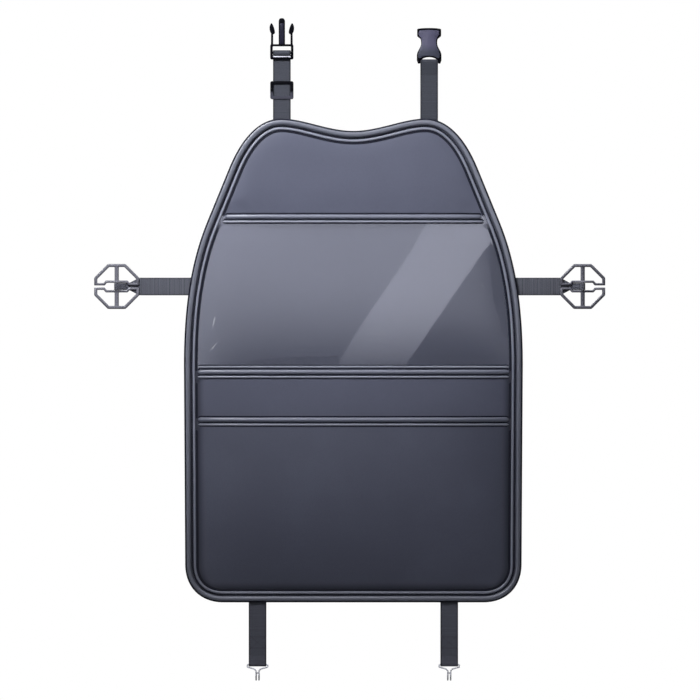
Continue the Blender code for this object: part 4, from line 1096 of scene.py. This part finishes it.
def wire_line():
    """Half of the wire's corners with their bend radii, then the whole line, eased."""
    neck, turn, bend = 2.05, 15.6, 5.5
    half = [((14.4, 0, 0), 1.8), ((14.4, 0, -3.6), 1.2), ((neck + 2.2, 0, -6.4), 1.6)]
    half += [((neck, 0, -9.0), 1.0), ((neck, 0, -turn), 0)]
    for t in np.linspace(0, math.pi, 13)[1:-1]:
        half.append(((neck, bend * (1 - math.cos(t)), -turn - bend * math.sin(t)), 0))
    half += [((neck, 2 * bend, -turn), 0), ((neck, 2 * bend, -turn + 5.6), 1.9)]
    whole = half + [((-p[0], p[1], p[2]), r) for p, r in reversed(half)]
    made, count = [], len(whole)
    for i in range(count):
        corner = (Vector(whole[k % count][0]) for k in (i, i - 1, i + 1))
        made += softened(*corner, whole[i][1], 0.48, 5)
    return made


def wire_hook(name, x, body, old):
    """A round skin along the wire's closed line."""
    cos, sin = math.cos(HOOK_HANG), math.sin(HOOK_HANG)
    line = [
        Vector((x + p.x * MM, HOOK_Y + (p.y * cos + p.z * sin) * MM, HOOK_Z + (p.z * cos - p.y * sin) * MM))
        for p in wire_line()
    ]
    up, rings = Vector((0, 1, 0)), []
    for i in range(len(line)):
        way = (line[(i + 1) % len(line)] - line[i - 1]).normalized()
        up = (up - way * up.dot(way)).normalized()
        other = way.cross(up)
        rings.append([
            line[i] + (up * math.cos(t) + other * math.sin(t)) * MM
            for t in np.linspace(0, 2 * math.pi, 14, endpoint=False)
        ])
    grid = np.array([[tuple(p) for p in ring] for ring in rings])
    turn = int(np.argmin([np.linalg.norm(grid[-1][0] - q) for q in grid[0]]))
    hand_over(lattice(name, grid, steel_look, twist=turn), body, old)


wire_hook("left_wire_hook", -BOTTOM_X, "left_hook", "left_hook")
wire_hook("right_wire_hook", BOTTOM_X, "right_hook", "right_hook")

# Stitching
# Twisted polyester thread: one run in the groove round the panel, one along each mouth,
# and a boxed seam on every strap where its two layers are sewn together.
thread_look = mottled(
    "thread", {"roughness": 0.6, "specular": 0.3, "sheen": 0.3}, 1800.0, 2.0,
    [(0.35, (0.02, 0.021, 0.03)), (0.65, (0.06, 0.062, 0.082))], (0.5, 0.0002),
)[0]


def stitch_tree():
    """Capsules of thread set end to end along a line."""
    inputs = {
        "Line": "Geometry", "Pitch": "Float", "Length": "Float", "Thickness": "Float", "Thread": "Material"
    }
    tree, put, out = group("run_of_stitches", "GeometryNodeTree", inputs, {"Stitches": "Geometry"})
    line, pitch, length, thick, thread = (put.outputs[label] for label in inputs)
    curve = node(tree, "GeometryNodeMeshToCurve", [(0, line)]).outputs[0]
    points = node(tree, "GeometryNodeCurveToPoints", [("Curve", curve), ("Length", pitch)], mode="LENGTH")
    ball = node(tree, "GeometryNodeMeshUVSphere", in_0=6, in_1=6, in_2=0.5)
    size = node(tree, "ShaderNodeCombineXYZ", [(0, thick), (1, thick), (2, length)])
    dots = node(tree, "GeometryNodeInstanceOnPoints", [
        ("Points", points.outputs["Points"]), ("Rotation", points.outputs["Rotation"]),
        ("Instance", ball.outputs["Mesh"]), ("Scale", size.outputs[0]),
    ])
    real = node(tree, "GeometryNodeRealizeInstances", [(0, dots.outputs[0])]).outputs[0]
    paint = node(tree, "GeometryNodeSetMaterial", [("Geometry", real), ("Material", thread)])
    tree.links.new(paint.outputs[0], out.inputs[0])
    return tree


STITCHES = stitch_tree()


def stitches(name, runs, pitch, length, thickness):
    """Sews along each run of points and joins the stitches in one mesh."""
    verts, edges = [], []
    for run in runs:
        edges += [(len(verts) + k, len(verts) + k + 1) for k in range(len(run) - 1)]
        verts += [tuple(p) for p in run]
    mesh = bpy.data.meshes.new(name)
    mesh.from_pydata(verts, edges, [])
    values = {"Pitch": pitch, "Length": length, "Thickness": thickness, "Thread": thread_look}
    items = [i for i in STITCHES.interface.items_tree if i.name in values]
    inputs = [(i.identifier, values[i.name]) for i in items]
    line = keep(in_scene(name, mesh), "NODES", inputs, node_group=STITCHES)
    line.data.polygons.foreach_set("use_smooth", [True] * len(line.data.polygons))
    hand_over(line, "panel")


PITCH, STITCH = 3.5 * MM, 2.8 * MM
edge_run = [(x, seam_base(z) - 0.1 * MM, z) for x, z in inset_line(10.8 * MM)]
stitches("edge_stitches", [edge_run + edge_run[:1]], PITCH, STITCH, 0.75 * MM)
mouth_runs = []
for name, z, rear_of, thick in MOUTHS:
    for drop in (4.7 * MM, 10.4 * MM):
        edge = half_width(z, MOUTH_IN) - 2 * MM
        mouth_runs.append([
            (x, rear_of(x, z - drop) - thick - 0.05 * MM, z - drop) for x in np.linspace(-edge, edge, 90)
        ])
edge, height = half_width(WINDOW_HEM, MOUTH_IN) - 2 * MM, WINDOW_HEM + 2.6 * MM
mouth_runs.append([(x, film_rear(x, height) - FILM_THICK, height) for x in np.linspace(-edge, edge, 90)])
rear_run = [(x, 0.3 * MM, z) for x, z in inset_line(7.5 * MM)]
stitches("rear_stitches", [rear_run + rear_run[:1]], PITCH, STITCH, 0.7 * MM)
stitches("mouth_stitches", mouth_runs, PITCH, STITCH, 0.6 * MM)


def box_seam(place, low, high, half=9.5 * MM):
    """A boxed seam with a cross, on a strap's front layer."""
    corners = oblong(low, high, -half, half)
    y = FRONT_WEB_Y - WEB_THICK / 2
    ends = [*zip(corners, corners[1:] + corners[:1]), corners[::2], corners[1::2]]
    return [[place(s, y, across) for s, across in np.linspace(a, b, 6)] for a, b in ends]


strap_runs = box_seam(lambda s, y, a: (TOP_STRAPS[1] + a, y, s), 0.378, 0.396)
for side in (-1, 1):
    strap_runs += box_seam(lambda s, y, a, side=side: (side * BOTTOM_X + a, y, -s), 0.392, 0.408)
stitches("strap_stitches", strap_runs, 2.3 * MM, 1.9 * MM, 0.5 * MM)

# Studio
# A pale floor below and a white backdrop behind, one lamp high on the left and one behind.
# Four soft cards are seen only in gloss: a tall one in front, a narrow one that leaves the slanting
# streak in the film, a dim one beside it and one above. The film mirrors their cut edges straight.
world = bpy.data.worlds.new("studio")
bpy.context.scene.world = world
world.use_nodes = True
air = world.node_tree
shown = air.nodes["Background"]
shown.inputs["Color"].default_value = (1, 1, 1, 1)
ROOM_LEVEL, FRONT_LEVEL, REAR_LEVEL, FLOOR_LEVEL = 0.05, 0.1, 0.16, 0.7
path = air.nodes.new("ShaderNodeLightPath")
way = node(air, "ShaderNodeSeparateXYZ", [(0, node(air, "ShaderNodeTexCoord").outputs["Generated"])])
behind = turned(air, way.outputs["Y"], 0.2, 0.7, FRONT_LEVEL, REAR_LEVEL)
mirrored_white = math_node(air, "MULTIPLY", path.outputs["Is Glossy Ray"], behind)
seen = math_node(air, "MAXIMUM", path.outputs["Is Camera Ray"], path.outputs["Is Transmission Ray"])
seen = math_node(air, "MAXIMUM", seen, mirrored_white)
dull = math_node(air, "MULTIPLY", path.outputs["Is Diffuse Ray"], ROOM_LEVEL)
air.links.new(math_node(air, "MAXIMUM", seen, dull), shown.inputs["Strength"])

view_width, distance = 0.994, 6.0
eye_place = Vector((-0.0048, -distance, 0.0151))


def mirrored(x, z, y):
    """Where the camera's look at the film goes on to, on an upright plane in front."""
    reach = 0.002

    def skin(x, z):
        lift = swell(x, z, WINDOW_DEEP, WINDOW_HEM - 2 * MM, 1.0, WINDOW_FADE)
        return Vector((x, FILM_REAR_Y - FILM_THICK - lift, z))

    here = skin(x, z)
    across = skin(x + reach, z) - skin(x - reach, z)
    upward = skin(x, z + reach) - skin(x, z - reach)
    look = (here - eye_place).normalized()
    onward = look.reflect(across.cross(upward).normalized())
    return here + onward * ((y - here.y) / onward.y)


def card(name, rows, bright, fade, sides=None):
    """A glowing card; its light starts and is full at the heights of fade, and across at sides."""
    wide = len(rows[0])
    faces = [
        (r * wide + c, r * wide + c + 1, (r + 1) * wide + c + 1, (r + 1) * wide + c)
        for r in range(len(rows) - 1) for c in range(wide - 1)
    ]
    made, tree, shader = principled(name + "_glow", 1.0, 0.0)
    shader.inputs["Base Color"].default_value = (0, 0, 0, 1)
    shader.inputs["Emission Color"].default_value = (0.84, 0.86, 1, 1)
    split = node(tree, "ShaderNodeSeparateXYZ", [(0, own_place(tree))])
    power = turned(tree, split.outputs["Z"], *fade, 0.0, bright, interpolation_type="SMOOTHSTEP")
    if sides:
        power = math_node(tree, "MULTIPLY", power, turned(tree, split.outputs["X"], *sides))
    tree.links.new(power, shader.inputs["Emission Strength"])
    piece = mesh_piece(name, [p for row in rows for p in row], faces, made)
    piece.visible_camera = piece.visible_diffuse = False


STREAK_LEFT = np.array([(0.1047, 0.1931), (-0.0228, -0.0052)])
STREAK_RIGHT = np.array([(0.194, 0.169), (0.0735, -0.0066)])
BEYOND, STREAK_CARD, FRONT_CARD, DIM_CARD, SKY_CARD = 0.35, 3.05, 2.12, 0.95, 2.0


def streak_row(along, y, shares):
    """Points on a card that the film mirrors across the streak, at one place along it."""
    row = []
    for share in shares:
        left, right = (side[0] + (side[1] - side[0]) * along for side in (STREAK_LEFT, STREAK_RIGHT))
        x, z = (float(v) for v in left * (1 - share) + right * share)
        edge = half_width(z, POCKET_IN) - 2 * MM
        past_film = BEYOND * max(0.0, min(1.0, (x - edge) / (3 * MM)))
        row.append(mirrored(min(x, edge), z, y) + Vector((past_film, 0, 0)))
    return row


streak = [streak_row(t, -0.5, np.linspace(0, 1, 9)) for t in np.linspace(-0.25, 1.0, 31)]
card("streak_card", streak, STREAK_CARD, (-0.26, 0.12))
slant = [streak_row(t, -2.2, [0.45])[0] for t in np.linspace(-0.1, 1.0, 12)]
slant.insert(0, slant[0] + Vector((0.35, 0, 1.2)))
card("front_card", [[Vector((-2.2, p.y, p.z)), p] for p in slant], FRONT_CARD, (-0.85, 0.45))
beside = [streak_row(t, -0.35, [1.0])[0] for t in np.linspace(-0.25, 1.0, 21)]
beside = [[p, Vector((max(0.31, p.x + 0.01), p.y, p.z))] for p in beside]
card("dim_card", beside, DIM_CARD, (-0.06, 0.085), (0.38, 0.24))
above = [[Vector((x, y, 1.5)) for x in (-1.3, 1.1)] for y in (-1.7, -0.1)]
card("sky_card", above, SKY_CARD, (0.0, 0.5))


def lamp(name, place, target, size, power, spread=180):
    """A soft rectangular lamp that the camera doesn't see."""
    data = bpy.data.lights.new(name, "AREA")
    data.shape, data.size, data.size_y = "RECTANGLE", *size
    data.energy, data.spread, data.color = power, math.radians(spread), (0.93, 0.95, 1)
    made = in_scene(name, data)
    made.location = place
    made.rotation_mode = "QUATERNION"
    made.rotation_quaternion = (Vector(target) - Vector(place)).to_track_quat("-Z", "Y")
    made.visible_camera = False


HIGH_WATTS, HIGH_SPREAD, REAR_WATTS = 2.38, 40, 24.0
lamp("high_lamp", (-0.75, -1.4, 1.2), (-0.12, 0, 0.33), (0.7, 0.5), HIGH_WATTS, HIGH_SPREAD)
lamp("rear_lamp", (0.7, 1.9, 1.1), (0, 0, 0), (1.4, 1.0), REAR_WATTS)

floor_look, floor_tree, floor_shader = principled("pale_floor", 0.8, 0.2)
floor_shader.inputs["Base Color"].default_value = (0.65, 0.65, 0.65, 1)
floor_shader.inputs["Emission Color"].default_value = (1, 1, 1, 1)
in_view = node(floor_tree, "ShaderNodeLightPath").outputs["Is Camera Ray"]
floor_glow = math_node(floor_tree, "MULTIPLY", in_view, FLOOR_LEVEL)
floor_tree.links.new(floor_glow, floor_shader.inputs["Emission Strength"])
FLOOR_Z = -0.56
corners = [(x, y, FLOOR_Z) for x, y in oblong(-3.0, 3.0, -3.6, 0.9)]
floor = mesh_piece("floor", corners, [(0, 1, 2, 3)], floor_look)

camera = bpy.data.cameras.new("camera")
camera.sensor_width = 36
camera.lens = 36 * distance / view_width
camera.clip_end = 50
eye = in_scene("camera", camera)
eye.location = eye_place
eye.rotation_euler = (math.pi / 2, 0, 0)
bpy.context.scene.camera = eye
bpy.context.scene.view_settings.view_transform = "Standard"
